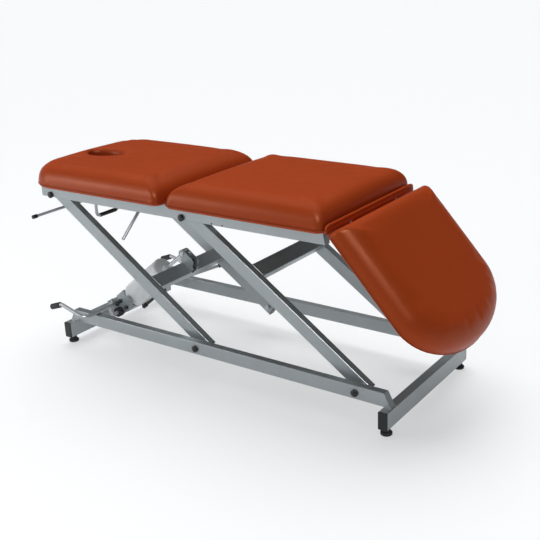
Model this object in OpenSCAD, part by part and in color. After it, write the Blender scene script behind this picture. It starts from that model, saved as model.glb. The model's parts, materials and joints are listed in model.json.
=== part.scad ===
// Hydraulic treatment table: a base on levelling feet, two pairs of lift arms driven by
// a foot pump, a top frame, and three padded sections (backrest, seat and leg section).
// The rest pose is the table at working height with the leg section hanging.

/* [Overall] */
// Node to draw, or all of them
// Overall length of the base, outer face to outer face of its cross tubes
base_length = 1500; // [1440:10:1560]
// Overall width of the base over the end caps
base_width = 622; // [600:2:660]
// Angle of the lift arms above the floor in the rest pose
arm_angle = 34.84; // [30:0.01:40]
// Distance between the lower and upper pivots of every lift arm
arm_length = 877; // [860:1:890]
// Distance along the base between the head-side and foot-side arm pivots
arm_spacing = 685; // [670:5:700]

/* [Base frame] */
// Width of every side rail and lift arm tube
rail_w = 30; // [26:1:32]
// Height of the base rails, top rails and lift arm tubes
rail_h = 50; // [46:1:52]
// Wall thickness of the frame tubes
tube_wall = 2.5; // [2:0.1:3]
// Outer corner radius of the frame tubes
tube_corner = 3; // [2.6:0.1:4]
// Distance across the outer faces of the base rails
base_rail_span = 550; // [540:2:560]
// Height of the base cross tubes
cross_h = 64; // [58:1:66]
// Width of the base cross tubes along the table
cross_w = 34; // [32:1:38]
// Height of the levelling feet under the cross tubes
foot_h = 26; // [22:1:30]
// Diameter of a levelling foot
foot_d = 40; // [36:1:44]
// Distance from the head end of the base to the lower head-side pivot
base_overhang = 674; // [665:1:680]
// Slant of the rail ends, measured along the rail
rail_slant = 26; // [10:1:30]

/* [Lift] */
// Height of the arm pivots above the bottom face of a base rail
pivot_rise = 23; // [20:1:26]
// Diameter of the pivot bolts
pivot_d = 12; // [10:1:14]
// Width of the gap between a base rail and the arm beside it
arm_gap = 19; // [18:1:20]
// Pin of the pump ram: distance from the lower arm pivots along the arms
ram_pin_reach = 360; // [352:1:366]
// Pin of the pump ram: distance above the arm centre line
ram_pin_up = 57; // [54:1:60]
// Diameter of the oil reservoir round the pump
reservoir_d = 108; // [96:1:112]
// Length of the oil reservoir
reservoir_l = 238; // [200:1:240]

/* [Top frame] */
// Distance across the outer faces of the top rails
top_rail_span = 516; // [510:2:520]
// Distance from the head end of the top rails to the backrest hinge
hinge_from_end = 681.8; // [676:0.1:688]
// Distance from the upper head-side pivot to the head end of the top rails
top_overhang = 50; // [50:1:54]
// Height of the arm pivots above the bottom face of a top rail
top_pivot_rise = 9; // [9:0.5:12]

/* [Padding] */
// Width of the three padded sections
pad_w = 622; // [600:2:640]
// Thickness of the padding at the crown of the backrest and seat
pad_t = 91; // [84:1:94]
// Overall length of the backrest padding
back_l = 698; // [680:1:710]
// Overall length of the seat padding
seat_l = 664; // [650:1:670]
// Gap between the backrest and the seat padding
pad_gap = 27; // [25:1:29]
// Length of the face hole along the table, inside its rolled edge
hole_l = 178; // [150:1:190]
// Width of the face hole across the table, inside its rolled edge
hole_w = 108; // [90:1:120]
// Overall length of the leg section padding
leg_l = 550; // [520:1:560]
// Thickness of the leg section padding
leg_t = 88; // [80:1:90]
// Angle of the hanging leg section below the level
leg_angle = 48; // [40:1:50]

/* [Fits] */
// Radial running clearance of every pivot
running = 0.05; // [0.02:0.01:0.1]
// Side play between a moving piece and the piece beside it
side_play = 0.3; // [0.3:0.1:0.5]

/* [Hidden] */
$fn = 48;

// Every cut runs past the face it opens by this much.
over = 1;

// Heights of the base, from the floor up.
rail_z = foot_h + cross_h;
rail_top = rail_z + rail_h;
pivot_z = rail_z + pivot_rise;
base_out = base_rail_span / 2;
base_in = base_out - rail_w;
arm_out = base_in - arm_gap;
arm_in = arm_out - rail_w;
cross_half = base_width / 2;

// Lift arm directions: along the arm, up to the head, and square to it.
arm_run = arm_length * cos(arm_angle);
arm_rise = arm_length * sin(arm_angle);
top_z = pivot_z + arm_rise;

// Top frame, measured from the lower head-side pivot like all that follows.
top_out = top_rail_span / 2;
top_in = top_out - rail_w;
top_bottom = top_z - top_pivot_rise;
deck_z = top_bottom + rail_h;
top_x0 = -arm_run - top_overhang;
pad_half = pad_w / 2;

// Backrest hinge, in the middle of the gap between the two pads.
hinge_rise = 17;
hinge_x = top_x0 + hinge_from_end;
hinge_z = deck_z + hinge_rise;
back_x1 = hinge_x - pad_gap / 2;
back_x0 = back_x1 - back_l;
seat_x0 = hinge_x + pad_gap / 2;
seat_x1 = seat_x0 + seat_l;
rail_end_in = 19.3;
top_x1 = seat_x1 - rail_end_in;

// Leg section hinge, at the lower edge of the padded hinge strip.
strip_gap = 4.5;
strip_w = 11;
leg_hinge_x = seat_x1 + strip_gap + strip_w / 2;
leg_hinge_up = 5;
leg_hinge_z = deck_z + leg_hinge_up;
leg_start = 8;
leg_end = leg_start + leg_l;

// Pump: base pivot on the head-side cross tube, ram pin on the head-side lift arms.
pump_in = 56;
pump_drop = 10;
pump_x = pump_in - base_overhang;
pump_z = rail_z - pump_drop;
ram_dx = -ram_pin_reach * cos(arm_angle) + ram_pin_up * sin(arm_angle) - pump_x;
ram_dz = pivot_z + ram_pin_reach * sin(arm_angle) + ram_pin_up * cos(arm_angle) - pump_z;
pump_angle = atan2(ram_dz, ram_dx);
pump_l = sqrt(ram_dx * ram_dx + ram_dz * ram_dz);

paint = [0.66, 0.68, 0.7];
steel = [0.78, 0.79, 0.8];
black = [0.07, 0.07, 0.08];
pale = [0.88, 0.88, 0.86];
hide = [0.62, 0.3, 0.16];
ply = [0.72, 0.55, 0.36];

// Places its children in the shared frame, whose origin is below the middle of the table.
module placed() {
    translate([-mid_x, 0, 0])
        children();
}

// Round bar along Y between two distances from the middle.
module bar_y(x, z, y0, y1, r) {
    translate([x, y0, z])
        rotate([-90, 0, 0])
            cylinder(h = y1 - y0, r = r);
}

// Plate standing on edge along the table: a drawing in X and Z made thick along Y.
module plate_y(y0, y1) {
    translate([0, y1, 0])
        rotate([90, 0, 0])
            linear_extrude(height = y1 - y0)
                children();
}

// Drawing in Y and Z made long along X.
module bar_x(x0, x1) {
    translate([x0, 0, 0])
        rotate([90, 0, 90])
            linear_extrude(height = x1 - x0)
                children();
}

// Copies its children to the near and the far side.
module both_sides() {
    children();
    mirror([0, 1, 0])
        children();
}

// Rectangle with round corners, centred.
module rounded(w, h, r) {
    square([w - 2 * r, h], center = true);
    square([w, h - 2 * r], center = true);
    for (x = [-1, 1], y = [-1, 1])
        translate([x * (w / 2 - r), y * (h / 2 - r)])
            circle(r = r);
}

// Section of a rectangular tube, centred.
module tube_section(w, h) {
    inner_corner = tube_corner - tube_wall;
    difference() {
        rounded(w, h, tube_corner);
        if (inner_corner > running)
            rounded(w - 2 * tube_wall, h - 2 * tube_wall, inner_corner);
        else
            square([w - 2 * tube_wall, h - 2 * tube_wall], center = true);
    }
}

// Heading of a path's piece in its plane, and the signed turn at one of its corners.
function heading(path, i) = atan2(path[i + 1].y - path[i].y, path[i + 1].x - path[i].x);
function turned(path, i) = let (t = heading(path, i) - heading(path, i - 1))
    t > 180 ? t - 360 : t < -180 ? t + 360 : t;
function trim(path, i, bend) = i == 0 || i == len(path) - 1 ? 0 : bend * tan(abs(turned(path, i)) / 2);

// A bend is this much thicker than its bar, and each straight piece runs this far into it.
bend_swell = 0.15;
bend_lap = 0.5;

// Round bar along a path in the XY plane, with an arc of the bend radius at each corner.
// It leaves out the straight pieces before the first one asked for, and may run on into
// the bend of another bar.
module bent_bar(path, r, bend, first = 0, runs_on = false) {
    last = len(path) - 1;
    for (i = [0:last - 1])
        if (i >= first) {
            start = trim(path, i, bend) - (i == 0 ? 0 : bend_lap);
            finish = trim(path, i + 1, bend) - (i < last - 1 || runs_on ? bend_lap : 0);
            translate(path[i])
                rotate([0, 0, heading(path, i)])
                    translate([start, 0, 0])
                        rotate([0, 90, 0])
                            cylinder(h = norm(path[i + 1] - path[i]) - start - finish, r = r);
        }
    for (i = [1:last])
        if (i < last) {
            t = turned(path, i);
            translate(path[i])
                rotate([0, 0, heading(path, i - 1)])
                    translate([-trim(path, i, bend), sign(t) * bend, 0])
                        rotate([0, 0, t > 0 ? -90 : 90 + t])
                            rotate_extrude(angle = abs(t))
                                translate([bend, 0])
                                    circle(r = r + bend_swell);
        }
}

// Stadium outline between two points of a plane.
module slot_2d(a, b, r) {
    v = b - a;
    translate(a)
        circle(r = r);
    translate(b)
        circle(r = r);
    translate(a)
        rotate(atan2(v.y, v.x))
            translate([0, -r])
                square([norm(v), 2 * r]);
}

// Side rail along X, closed by plates on its slanted ends.
module slanted_rail(x0, x1, z0, y0, head_slant, foot_slant) {
    z1 = z0 + rail_h;
    skin = tube_wall;
    difference() {
        intersection() {
            translate([0, y0 + rail_w / 2, z0 + rail_h / 2])
                bar_x(x0, x1)
                    rounded(rail_w, rail_h, tube_corner);
            plate_y(y0 - over, y0 + rail_w + over)
                polygon([[x0, z0], [x1, z0], [x1 - foot_slant, z1], [x0 + head_slant, z1]]);
        }
        plate_y(y0 + skin, y0 + rail_w - skin)
            polygon([[x0 + 2 * skin, z0 + skin], [x1 - 2 * skin, z0 + skin],
                [x1 - foot_slant - 2 * skin, z1 - skin], [x0 + head_slant + 2 * skin, z1 - skin]]);
    }
}

// Moves its children into the frame of a lift arm: -X runs up the arm, +Z squares off it.
module on_arm(x) {
    translate([x, 0, pivot_z])
        rotate([0, arm_angle, 0])
            children();
}

// Moves its children into the frame of the leg section: +X runs down it.
module on_leg() {
    translate([leg_hinge_x, 0, leg_hinge_z])
        rotate([0, leg_angle, 0])
            children();
}

// Moves its children into the frame of the pump: +X runs up the ram.
module on_pump() {
    translate([pump_x, 0, pump_z])
        rotate([0, -pump_angle, 0])
            children();
}

base_x0 = -base_overhang;
base_x1 = base_x0 + base_length;
rail_inset = 6;
head_cross_x = base_x0 + cross_w / 2;
foot_cross_x = base_x1 - cross_w / 2;

module base_rail() {
    difference() {
        slanted_rail(base_x0 + rail_inset, base_x1 - rail_inset, rail_z, -base_out,
            rail_slant, rail_slant);
        for (x = [0, arm_spacing])
            bar_y(x, pivot_z, -base_out - over, -base_in + over, pivot_d / 2);
    }
}

module base_rail_near() {
    color(paint)
        placed()
            base_rail();
}

module base_rail_far() {
    color(paint)
        placed()
            mirror([0, 1, 0])
                base_rail();
}

cap_t = 4;
foot_inset = 27;
foot_y = cross_half - foot_inset;
stud_d = 12;
stud_l = 34;

// Base cross tube lying across the table, with holes for the levelling studs.
module base_cross(x) {
    difference() {
        translate([x, cross_half - cap_t, foot_h + cross_h / 2])
            rotate([90, 0, 0])
                linear_extrude(height = 2 * (cross_half - cap_t))
                    tube_section(cross_w, cross_h);
        for (y = [-foot_y, foot_y])
            translate([x, y, foot_h - over])
                cylinder(h = tube_wall + 2 * over, d = stud_d + 2 * running);
    }
}

module base_cross_head() {
    color(paint)
        placed()
            base_cross(head_cross_x);
}

module base_cross_foot() {
    color(paint)
        placed()
            base_cross(foot_cross_x);
}

// Black plastic caps in the four open ends of the base cross tubes.
module base_end_caps() {
    plug_l = 16;
    plug_wall = 2;
    plug_w = cross_w - 2 * tube_wall;
    plug_h = cross_h - 2 * tube_wall;
    color(black)
        placed()
            for (x = [head_cross_x, foot_cross_x])
                both_sides()
                    translate([x, -cross_half, foot_h + cross_h / 2])
                        rotate([-90, 0, 0]) {
                            linear_extrude(height = cap_t)
                                rounded(cross_w, cross_h, tube_corner);
                            linear_extrude(height = cap_t + plug_l)
                                difference() {
                                    square([plug_w, plug_h], center = true);
                                    square([plug_w - 2 * plug_wall, plug_h - 2 * plug_wall], center = true);
                                }
                        }
}

// Levelling foot: ribbed pad with a flared skirt, and the stud that screws into the tube.
module levelling_foot(x, y) {
    skirt_h = 9;
    neck_d = 26;
    rim = 2;
    color(black)
        placed()
            translate([x, y, 0]) {
                rotate_extrude()
                    polygon([[0, 0], [foot_d / 2 - rim, 0], [foot_d / 2, rim], [foot_d / 2, skirt_h],
                        [neck_d / 2, skirt_h + rim * 2], [neck_d / 2, foot_h - side_play], [0, foot_h - side_play]]);
                cylinder(h = foot_h + stud_l, d = stud_d);
            }
}

module foot_head_near() {
    levelling_foot(head_cross_x, -foot_y);
}

module foot_head_far() {
    levelling_foot(head_cross_x, foot_y);
}

module foot_foot_near() {
    levelling_foot(foot_cross_x, -foot_y);
}

module foot_foot_far() {
    levelling_foot(foot_cross_x, foot_y);
}

washer_t = 2;
nut_h = 9;
nut_d = 21;
bolt_head_h = 7;

// Bolt with a hexagon head outside, and its nut on the inner side of the arm.
module pivot_bolt(x, z, outside, inside) {
    bar_y(x, z, -outside, -inside + nut_h + washer_t, pivot_d / 2);
    translate([x, -outside - bolt_head_h, z])
        rotate([-90, 0, 0])
            cylinder(h = bolt_head_h, d = nut_d, $fn = 6);
}

module pivot_nut(x, z, inside) {
    difference() {
        union() {
            translate([x, -inside + side_play + washer_t, z])
                rotate([-90, 0, 0])
                    cylinder(h = nut_h, d = nut_d, $fn = 6);
            bar_y(x, z, -inside + side_play, -inside + side_play + washer_t, nut_d / 2 + washer_t);
        }
        bar_y(x, z, -inside - over, -inside + nut_h + 2 * washer_t + over, pivot_d / 2);
    }
}

module base_pivot_bolts() {
    color(steel)
        placed()
            both_sides()
                for (x = [0, arm_spacing]) {
                    pivot_bolt(x, pivot_z, base_out, arm_in);
                    pivot_nut(x, pivot_z, arm_in);
                }
}

cap_d = 26;
cap_h = 11;

// Black domed cap over a bolt head, hollow for the head.
module domed_cap(x, z, outside) {
    dome_r = 20;
    translate([x, -outside, z])
        rotate([90, 0, 0])
            difference() {
                intersection() {
                    cylinder(h = cap_h, d = cap_d);
                    translate([0, 0, cap_h - dome_r])
                        sphere(r = dome_r);
                }
                translate([0, 0, -over])
                    cylinder(h = bolt_head_h + side_play + over, d = nut_d + side_play);
            }
}

module base_pivot_caps() {
    color(black)
        placed()
            both_sides()
                for (x = [0, arm_spacing])
                    domed_cap(x, pivot_z, base_out);
}

module base_spacers() {
    spacer_d = 28;
    color(steel)
        placed()
            both_sides()
                for (x = [0, arm_spacing])
                    difference() {
                        bar_y(x, pivot_z, -base_in, -arm_out - side_play, spacer_d / 2);
                        bar_y(x, pivot_z, -base_in - over, -arm_out + over, pivot_d / 2);
                    }
}

lug_in = 20;
lug_t = 8;
pump_pin_d = 16;
bracket_bolt_y = 46;

// Base bracket of the pump: a plate on the cross tube, two lugs on its inner face.
module pump_bracket() {
    plate_t = 6;
    plate_back = 2;
    plate_x0 = base_x0 + plate_back;
    plate_x1 = base_x0 + cross_w;
    plate_y = 62;
    lug_r = 17;
    bolt_d = 16;
    bolt_h = 7;
    color(paint)
        placed() {
            translate([plate_x0, -plate_y, rail_z])
                cube([plate_x1 - plate_x0, 2 * plate_y, plate_t]);
            both_sides()
                difference() {
                    plate_y(lug_in, lug_in + lug_t) {
                        translate([pump_x, pump_z])
                            circle(r = lug_r);
                        translate([plate_x1, pump_z - lug_r])
                            square([pump_x - plate_x1, 2 * lug_r]);
                    }
                    bar_y(pump_x, pump_z, lug_in - over, lug_in + lug_t + over, pump_pin_d / 2);
                }
            both_sides()
                translate([(plate_x0 + plate_x1) / 2, bracket_bolt_y, rail_z + plate_t])
                    cylinder(h = bolt_h, d = bolt_d, $fn = 6);
        }
}

module pump_pin() {
    head_t = 4;
    head_d = 24;
    color(steel)
        placed() {
            bar_y(pump_x, pump_z, -lug_in - lug_t, lug_in + lug_t, pump_pin_d / 2);
            both_sides()
                bar_y(pump_x, pump_z, lug_in + lug_t, lug_in + lug_t + head_t, head_d / 2);
        }
}

block_l = 74;
block_half = 50;
cheek_in = 60;
cheek_t = 6;
pedal_pivot_reach = 14;
pedal_pivot_up = -26;
pedal_shaft_d = 16;
valve_reach = 62;

// Cast pump body: a tongue round the base pin, a block, and two bolted cheek plates
// with round ends that carry the pedal shaft.
module pump_block() {
    tongue_half = lug_in - side_play;
    tongue_r = 16;
    body_low = -44;
    body_high = 40;
    body_start = 24;
    cheek_start = 16;
    cheek_up = -14;
    cheek_r = 30;
    bolt_d = 15;
    bolt_h = 6;
    bolt_places_share = [[0.67, 0.27], [1.53, 0.27], [1.93, -1]];
    color(paint)
        placed()
            on_pump()
                difference() {
                    union() {
                        plate_y(-tongue_half, tongue_half) {
                            circle(r = tongue_r);
                            translate([0, -tongue_r])
                                square([body_start, 2 * tongue_r]);
                        }
                        translate([body_start, -block_half, body_low])
                            cube([block_l - body_start, 2 * block_half, body_high - body_low]);
                        both_sides() {
                            plate_y(cheek_in, cheek_in + cheek_t)
                                slot_2d([cheek_start, cheek_up], [block_l, cheek_up], cheek_r);
                            for (p = bolt_places_share)
                                translate([p.x * cheek_r, cheek_in + cheek_t, p.y * cheek_r])
                                    rotate([-90, 0, 0])
                                        cylinder(h = bolt_h, d = bolt_d, $fn = 6);
                            translate([valve_reach - bolt_d, block_half - over, -bolt_d])
                                cube([block_l - valve_reach + bolt_d, cheek_in - block_half + 2 * over,
                                    2 * bolt_d]);
                        }
                    }
                    bar_y(0, 0, -tongue_half - over, tongue_half + over, pump_pin_d / 2 + running);
                    bar_y(pedal_pivot_reach, pedal_pivot_up, -cross_half, cross_half,
                        pedal_shaft_d / 2 + running);
                    translate([valve_reach, 0, 0])
                        bar_y(0, 0, block_half - 2 * bolt_d, cross_half, lever_d / 2 + running);
                }
}

ram_d = 16;

// Pale reservoir cylinder round the pump barrel, with a gland for the ram.
module reservoir() {
    end_r = 6;
    gland_d = 34;
    gland_h = 16;
    body_r = reservoir_d / 2;
    color(pale)
        placed()
            on_pump()
                difference() {
                    translate([block_l, 0, 0])
                        rotate([0, 90, 0])
                            rotate_extrude()
                                polygon([[0, 0], [body_r - end_r, 0], [body_r, end_r],
                                    [body_r, reservoir_l - end_r], [body_r - end_r, reservoir_l],
                                    [gland_d / 2, reservoir_l], [gland_d / 2, reservoir_l + gland_h],
                                    [0, reservoir_l + gland_h]]);
                    translate([block_l + end_r, 0, 0])
                        rotate([0, 90, 0])
                            cylinder(h = reservoir_l + gland_h, d = ram_d + 2 * running);
                }
}

eye_r = 17;
ram_pin_d = 12;
ear_in = 10;
ear_t = 6;
ram_slot = -12;
ram_slot_play = 2.4;

// Ram: polished rod and the eye, slotted square to the rod so that the pin can shift.
module pump_ram() {
    rod_inside = 80;
    rod_start = block_l + rod_inside;
    eye_half = ear_in - side_play;
    color(steel)
        placed()
            on_pump()
                difference() {
                    union() {
                        translate([rod_start, 0, 0])
                            rotate([0, 90, 0])
                                cylinder(h = pump_l - rod_start, d = ram_d);
                        plate_y(-eye_half, eye_half)
                            slot_2d([pump_l, 0], [pump_l, ram_slot], eye_r);
                    }
                    plate_y(-eye_half - over, eye_half + over)
                        slot_2d([pump_l, 0], [pump_l, ram_slot], ram_pin_d / 2 + ram_slot_play);
                }
}

pipe_d = 12;

// Return pipe along the underside of the reservoir, with a thick sleeve at its top.
module return_pipe() {
    pipe_gap = 4;
    pipe_start = block_l + pipe_gap;
    pipe_l = 165;
    sleeve_l = 22;
    sleeve_d = 18;
    drop = -reservoir_d / 2 - sleeve_d / 2 - side_play;
    color(black)
        placed()
            on_pump()
                translate([0, 0, drop]) {
                    translate([pipe_start, 0, 0])
                        rotate([0, 90, 0])
                            cylinder(h = pipe_l, d = pipe_d);
                    for (x = [pipe_start, pipe_start + pipe_l - sleeve_l])
                        translate([x, 0, 0])
                            rotate([0, 90, 0])
                                cylinder(h = sleeve_l, d = sleeve_d);
                }
}

pedal_r = 8;
pedal_y = 338;
pedal_run_in = 156;
pedal_run_x = base_x0 + pedal_run_in;
pedal_clear = 2;
pedal_run_z = rail_top + pedal_r + pedal_clear;
pedal_elbow_in = 31;
pedal_elbow_up = 34;
pedal_elbow = [base_x0 + pedal_elbow_in, pedal_run_z + pedal_elbow_up];
pedal_end_out = 31;
pedal_end_up = 12;
pedal_end = [base_x0 - pedal_end_out, pedal_run_z + pedal_end_up];
pedal_pivot_x = pump_x + pedal_pivot_reach * cos(pump_angle) - pedal_pivot_up * sin(pump_angle);
pedal_pivot_z = pump_z + pedal_pivot_reach * sin(pump_angle) + pedal_pivot_up * cos(pump_angle);

pedal_lever_y = 118;
pedal_low_y = 200;
pedal_bend = 24;
pedal_reach = [pedal_run_x - pedal_pivot_x, pedal_run_z - pedal_pivot_z];
pedal_out = atan2(norm(pedal_reach), pedal_low_y - pedal_lever_y);
pedal_shaft_y = pedal_lever_y - pedal_bend * tan(pedal_out / 2) + bend_lap;
pedal_rise = atan2(pedal_reach.y, pedal_reach.x);
pedal_slope = atan2(pedal_elbow.y - pedal_run_z, pedal_run_x - pedal_elbow.x);
pedal_arm = norm([pedal_run_x - pedal_elbow.x, pedal_elbow.y - pedal_run_z]);
pedal_drop = atan2(pedal_elbow.y - pedal_end.y, pedal_elbow.x - pedal_end.x);

// Pedal bar: a cross shaft through the pump, two lever bars over the rails, and the
// outer arms that rise towards the head end.
module pedal_bar() {
    run_end = pedal_y - pedal_bend;
    elbow_trim = pedal_bend * tan((pedal_slope + pedal_drop) / 2);
    color(steel)
        placed() {
            bar_y(pedal_pivot_x, pedal_pivot_z, -pedal_shaft_y, pedal_shaft_y, pedal_r);
            both_sides() {
                translate([pedal_pivot_x, 0, pedal_pivot_z])
                    rotate([0, -pedal_rise, 0])
                        bent_bar([[0, pedal_shaft_y / 2], [0, pedal_lever_y], [norm(pedal_reach), pedal_low_y],
                            [norm(pedal_reach), run_end]], pedal_r, pedal_bend, 1, true);
                translate([pedal_run_x, 0, pedal_run_z])
                    rotate([0, pedal_slope, 0])
                        bent_bar([[0, run_end], [0, pedal_y], [elbow_trim - pedal_arm, pedal_y]],
                            pedal_r, pedal_bend, 1, true);
                translate([pedal_elbow.x, pedal_y, pedal_elbow.y])
                    rotate([90, 0, 0])
                        bent_bar([[elbow_trim * cos(pedal_slope), -elbow_trim * sin(pedal_slope)], [0, 0],
                            [pedal_end.x - pedal_elbow.x, pedal_end.y - pedal_elbow.y]], pedal_r, pedal_bend, 1);
            }
        }
}

// Black sleeves on the two pedals and the black hubs on the pedal shaft.
module pedal_grips() {
    grip_r = 12;
    grip_l = 52;
    hub_r = 20;
    hub_l = 22;
    hub_y = cheek_in + cheek_t + side_play;
    color(black)
        placed()
            both_sides() {
                translate([pedal_end.x, pedal_y, pedal_end.y])
                    rotate([0, 90 - pedal_drop, 0])
                        difference() {
                            translate([0, 0, pedal_r / 2])
                                cylinder(h = grip_l, r = grip_r);
                            translate([0, 0, -over])
                                cylinder(h = 2 * grip_l, r = pedal_r);
                        }
                difference() {
                    bar_y(pedal_pivot_x, pedal_pivot_z, hub_y, hub_y + hub_l, hub_r);
                    bar_y(pedal_pivot_x, pedal_pivot_z, hub_y - over, hub_y + hub_l + over, pedal_r);
                }
            }
}

lever_d = 14;
lever_bend_x = pump_x + valve_reach * cos(pump_angle);
lever_bend_z = pump_z + valve_reach * sin(pump_angle);
lever_end_in = 341;
lever_end_y = 337;
lever_end_z = 201;
lever_end = [base_x0 + lever_end_in, lever_end_y, lever_end_z];
lever_out = 24;
lever_y = cheek_in + cheek_t + lever_out;
lever_side = [lever_end.x - lever_bend_x, lever_end.z - lever_bend_z];
lever_rise = atan2(lever_side.y, lever_side.x);
lever_turn = atan2(norm(lever_side), lever_end.y - lever_y);

// Lowering lever: a rod from the pump valve out over the far rail.
module lowering_lever() {
    inside = 20;
    inner_y = block_half - inside;
    bend = 18;
    color(steel)
        placed()
            translate([lever_bend_x, 0, lever_bend_z])
                rotate([0, -lever_rise, 0])
                    bent_bar([[0, inner_y], [0, lever_y], [norm(lever_side), lever_end.y]], lever_d / 2, bend);
}

module lever_tip() {
    tip_r = 10;
    tip_l = 34;
    color(black)
        placed()
            translate([lever_bend_x, 0, lever_bend_z])
                rotate([0, -lever_rise, 0])
                    translate([norm(lever_side), lever_end.y, 0])
                        rotate([0, 0, -lever_turn])
                            rotate([90, 0, 0])
                                difference() {
                                    translate([0, 0, -lever_d / 2])
                                        cylinder(h = tip_l, r = tip_r);
                                    cylinder(h = tip_l + over, r = lever_d / 2);
                                }
}

arm_end = 25;
plug_t = 3;

// One lift arm tube with a welded boss round each pivot bore.
module lift_arm() {
    boss_d = 22;
    difference() {
        union() {
            translate([0, -arm_out + rail_w / 2, 0])
                bar_x(-arm_length - arm_end + plug_t, arm_end - plug_t)
                    tube_section(rail_w, rail_h);
            for (x = [0, -arm_length])
                bar_y(x, 0, -arm_out + tube_wall / 2, -arm_in - tube_wall / 2, boss_d / 2);
        }
        for (x = [0, -arm_length])
            bar_y(x, 0, -arm_out - over, -arm_in + over, pivot_d / 2 + running);
    }
}

arm_cross_n0 = -5;
arm_cross_d = [282, 342];
foot_cross_d = [516, 577];

// Cross tube between two arms, lying on edge along them.
module arm_cross(d) {
    w = d[1] - d[0];
    h = rail_h / 2 - arm_cross_n0;
    translate([-(d[0] + d[1]) / 2, arm_in, arm_cross_n0 + h / 2])
        rotate([90, 0, 0])
            linear_extrude(height = 2 * arm_in)
                tube_section(w, h);
}

// Black plugs in the four open ends of a pair of arms.
module arm_plugs() {
    plug_l = 10;
    both_sides()
        for (x = [-arm_length - arm_end, arm_end])
            translate([x, -arm_out + rail_w / 2, 0])
                mirror([x > 0 ? 1 : 0, 0, 0]) {
                    bar_x(0, plug_t)
                        rounded(rail_w, rail_h, tube_corner);
                    bar_x(0, plug_t + plug_l)
                        square([rail_w - 2 * tube_wall, rail_h - 2 * tube_wall], center = true);
                }
}

module head_arm_near() {
    color(paint)
        placed()
            on_arm(0)
                lift_arm();
}

module head_arm_far() {
    color(paint)
        placed()
            on_arm(0)
                mirror([0, 1, 0])
                    lift_arm();
}

module head_arm_cross() {
    color(paint)
        placed()
            on_arm(0)
                arm_cross(arm_cross_d);
}

module head_arm_plugs() {
    color(black)
        placed()
            on_arm(0)
                arm_plugs();
}

// Two rounded ears on the head-side cross tube, which hold the pin of the ram.
module ram_ears() {
    ear_r = 17;
    foot_in = 8;
    top_n = rail_h / 2;
    tube_out = arm_cross_d[1];
    color(paint)
        placed()
            on_arm(0)
                both_sides()
                    difference() {
                        plate_y(ear_in, ear_in + ear_t)
                            difference() {
                                union() {
                                    slot_2d([-ram_pin_reach, ram_pin_up],
                                        [-ram_pin_reach + 3 * ear_r, ram_pin_up], ear_r);
                                    polygon([[-tube_out, top_n], [-arm_cross_d[0], top_n],
                                        [-arm_cross_d[0], ram_pin_up - foot_in],
                                        [-ram_pin_reach - ear_r + foot_in, ram_pin_up - foot_in]]);
                                }
                                translate([-ram_pin_reach, ram_pin_up])
                                    circle(r = ram_pin_d / 2);
                            }
                    }
}

module ram_pin() {
    head_t = 3;
    head_d = 18;
    half = ear_in + ear_t;
    color(steel)
        placed()
            on_arm(0) {
                bar_y(-ram_pin_reach, ram_pin_up, -half, half, ram_pin_d / 2);
                both_sides()
                    bar_y(-ram_pin_reach, ram_pin_up, half, half + head_t, head_d / 2);
            }
}

module foot_arm_near() {
    color(paint)
        placed()
            on_arm(arm_spacing)
                lift_arm();
}

module foot_arm_far() {
    color(paint)
        placed()
            on_arm(arm_spacing)
                mirror([0, 1, 0])
                    lift_arm();
}

module foot_arm_cross() {
    color(paint)
        placed()
            on_arm(arm_spacing)
                arm_cross(foot_cross_d);
}

module foot_arm_plugs() {
    color(black)
        placed()
            on_arm(arm_spacing)
                arm_plugs();
}

// Top rail; the bores for the foot-side arms are wider, as their upper pivots are open.
module top_rail() {
    foot_slant = 10;
    difference() {
        slanted_rail(top_x0, top_x1, top_bottom, -top_out, 0, foot_slant);
        for (x = [-arm_run, -arm_run + arm_spacing])
            bar_y(x, top_z, -top_out - over, -top_in + over, pivot_d / 2);
    }
}

module top_rail_near() {
    color(paint)
        placed()
            top_rail();
}

module top_rail_far() {
    color(paint)
        placed()
            mirror([0, 1, 0])
                top_rail();
}

// Cross tube of the top frame between its rails.
module top_cross(x0, x1, z0, z1) {
    translate([(x0 + x1) / 2, top_in, (z0 + z1) / 2])
        rotate([90, 0, 0])
            linear_extrude(height = 2 * top_in)
                tube_section(x1 - x0, z1 - z0);
}

cross_up = 2;
low_z = top_bottom + cross_up;
cross_depth = 26;
high_depth = 40;
head_bar_w = 12;
lever_bar_in = 475;
lever_bar_x = top_x0 + lever_bar_in;
mid_bar_in = 148;
mid_bar_x = hinge_x + mid_bar_in;
foot_bar_in = 41;
foot_bar_x = top_x1 - foot_bar_in;

module top_cross_head() {
    color(paint)
        placed()
            top_cross(top_x0, top_x0 + head_bar_w, low_z, low_z + high_depth);
}

release_l = 18;
release_pin_d = 8;
release_x = lever_bar_x - release_l / 2 - side_play;
release_y = -110;
release_z = low_z + cross_depth / 2;

// Cross tube that carries the release lever on a stud with a thin head.
module top_cross_back() {
    head_t = 2;
    stud_x = lever_bar_x - release_l - 2 * side_play;
    color(paint)
        placed() {
            top_cross(lever_bar_x, lever_bar_x + rail_w, low_z, low_z + cross_depth);
            translate([stud_x, release_y, release_z])
                rotate([0, 90, 0])
                    cylinder(h = lever_bar_x + tube_wall / 2 - stud_x, d = release_pin_d);
            translate([stud_x - head_t, release_y, release_z])
                rotate([0, 90, 0])
                    cylinder(h = head_t, r = release_pin_d);
        }
}

spring_tube_d = 22;
spring_rod_d = 10;
spring_pin_d = 10;
back_spring_drop = 45;
back_spring_z = hinge_z - back_spring_drop;
leg_spring_drop = 41;
leg_spring_z = leg_hinge_z - leg_spring_drop;
back_swing = 70;

module top_cross_mid() {
    color(paint)
        placed()
            difference() {
                top_cross(mid_bar_x, mid_bar_x + rail_w, low_z, low_z + high_depth);
                translate([mid_bar_x - over, 0, back_spring_z])
                    rotate([0, 90, 0])
                        cylinder(h = rail_w + 2 * over, d = spring_tube_d);
            }
}

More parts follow.
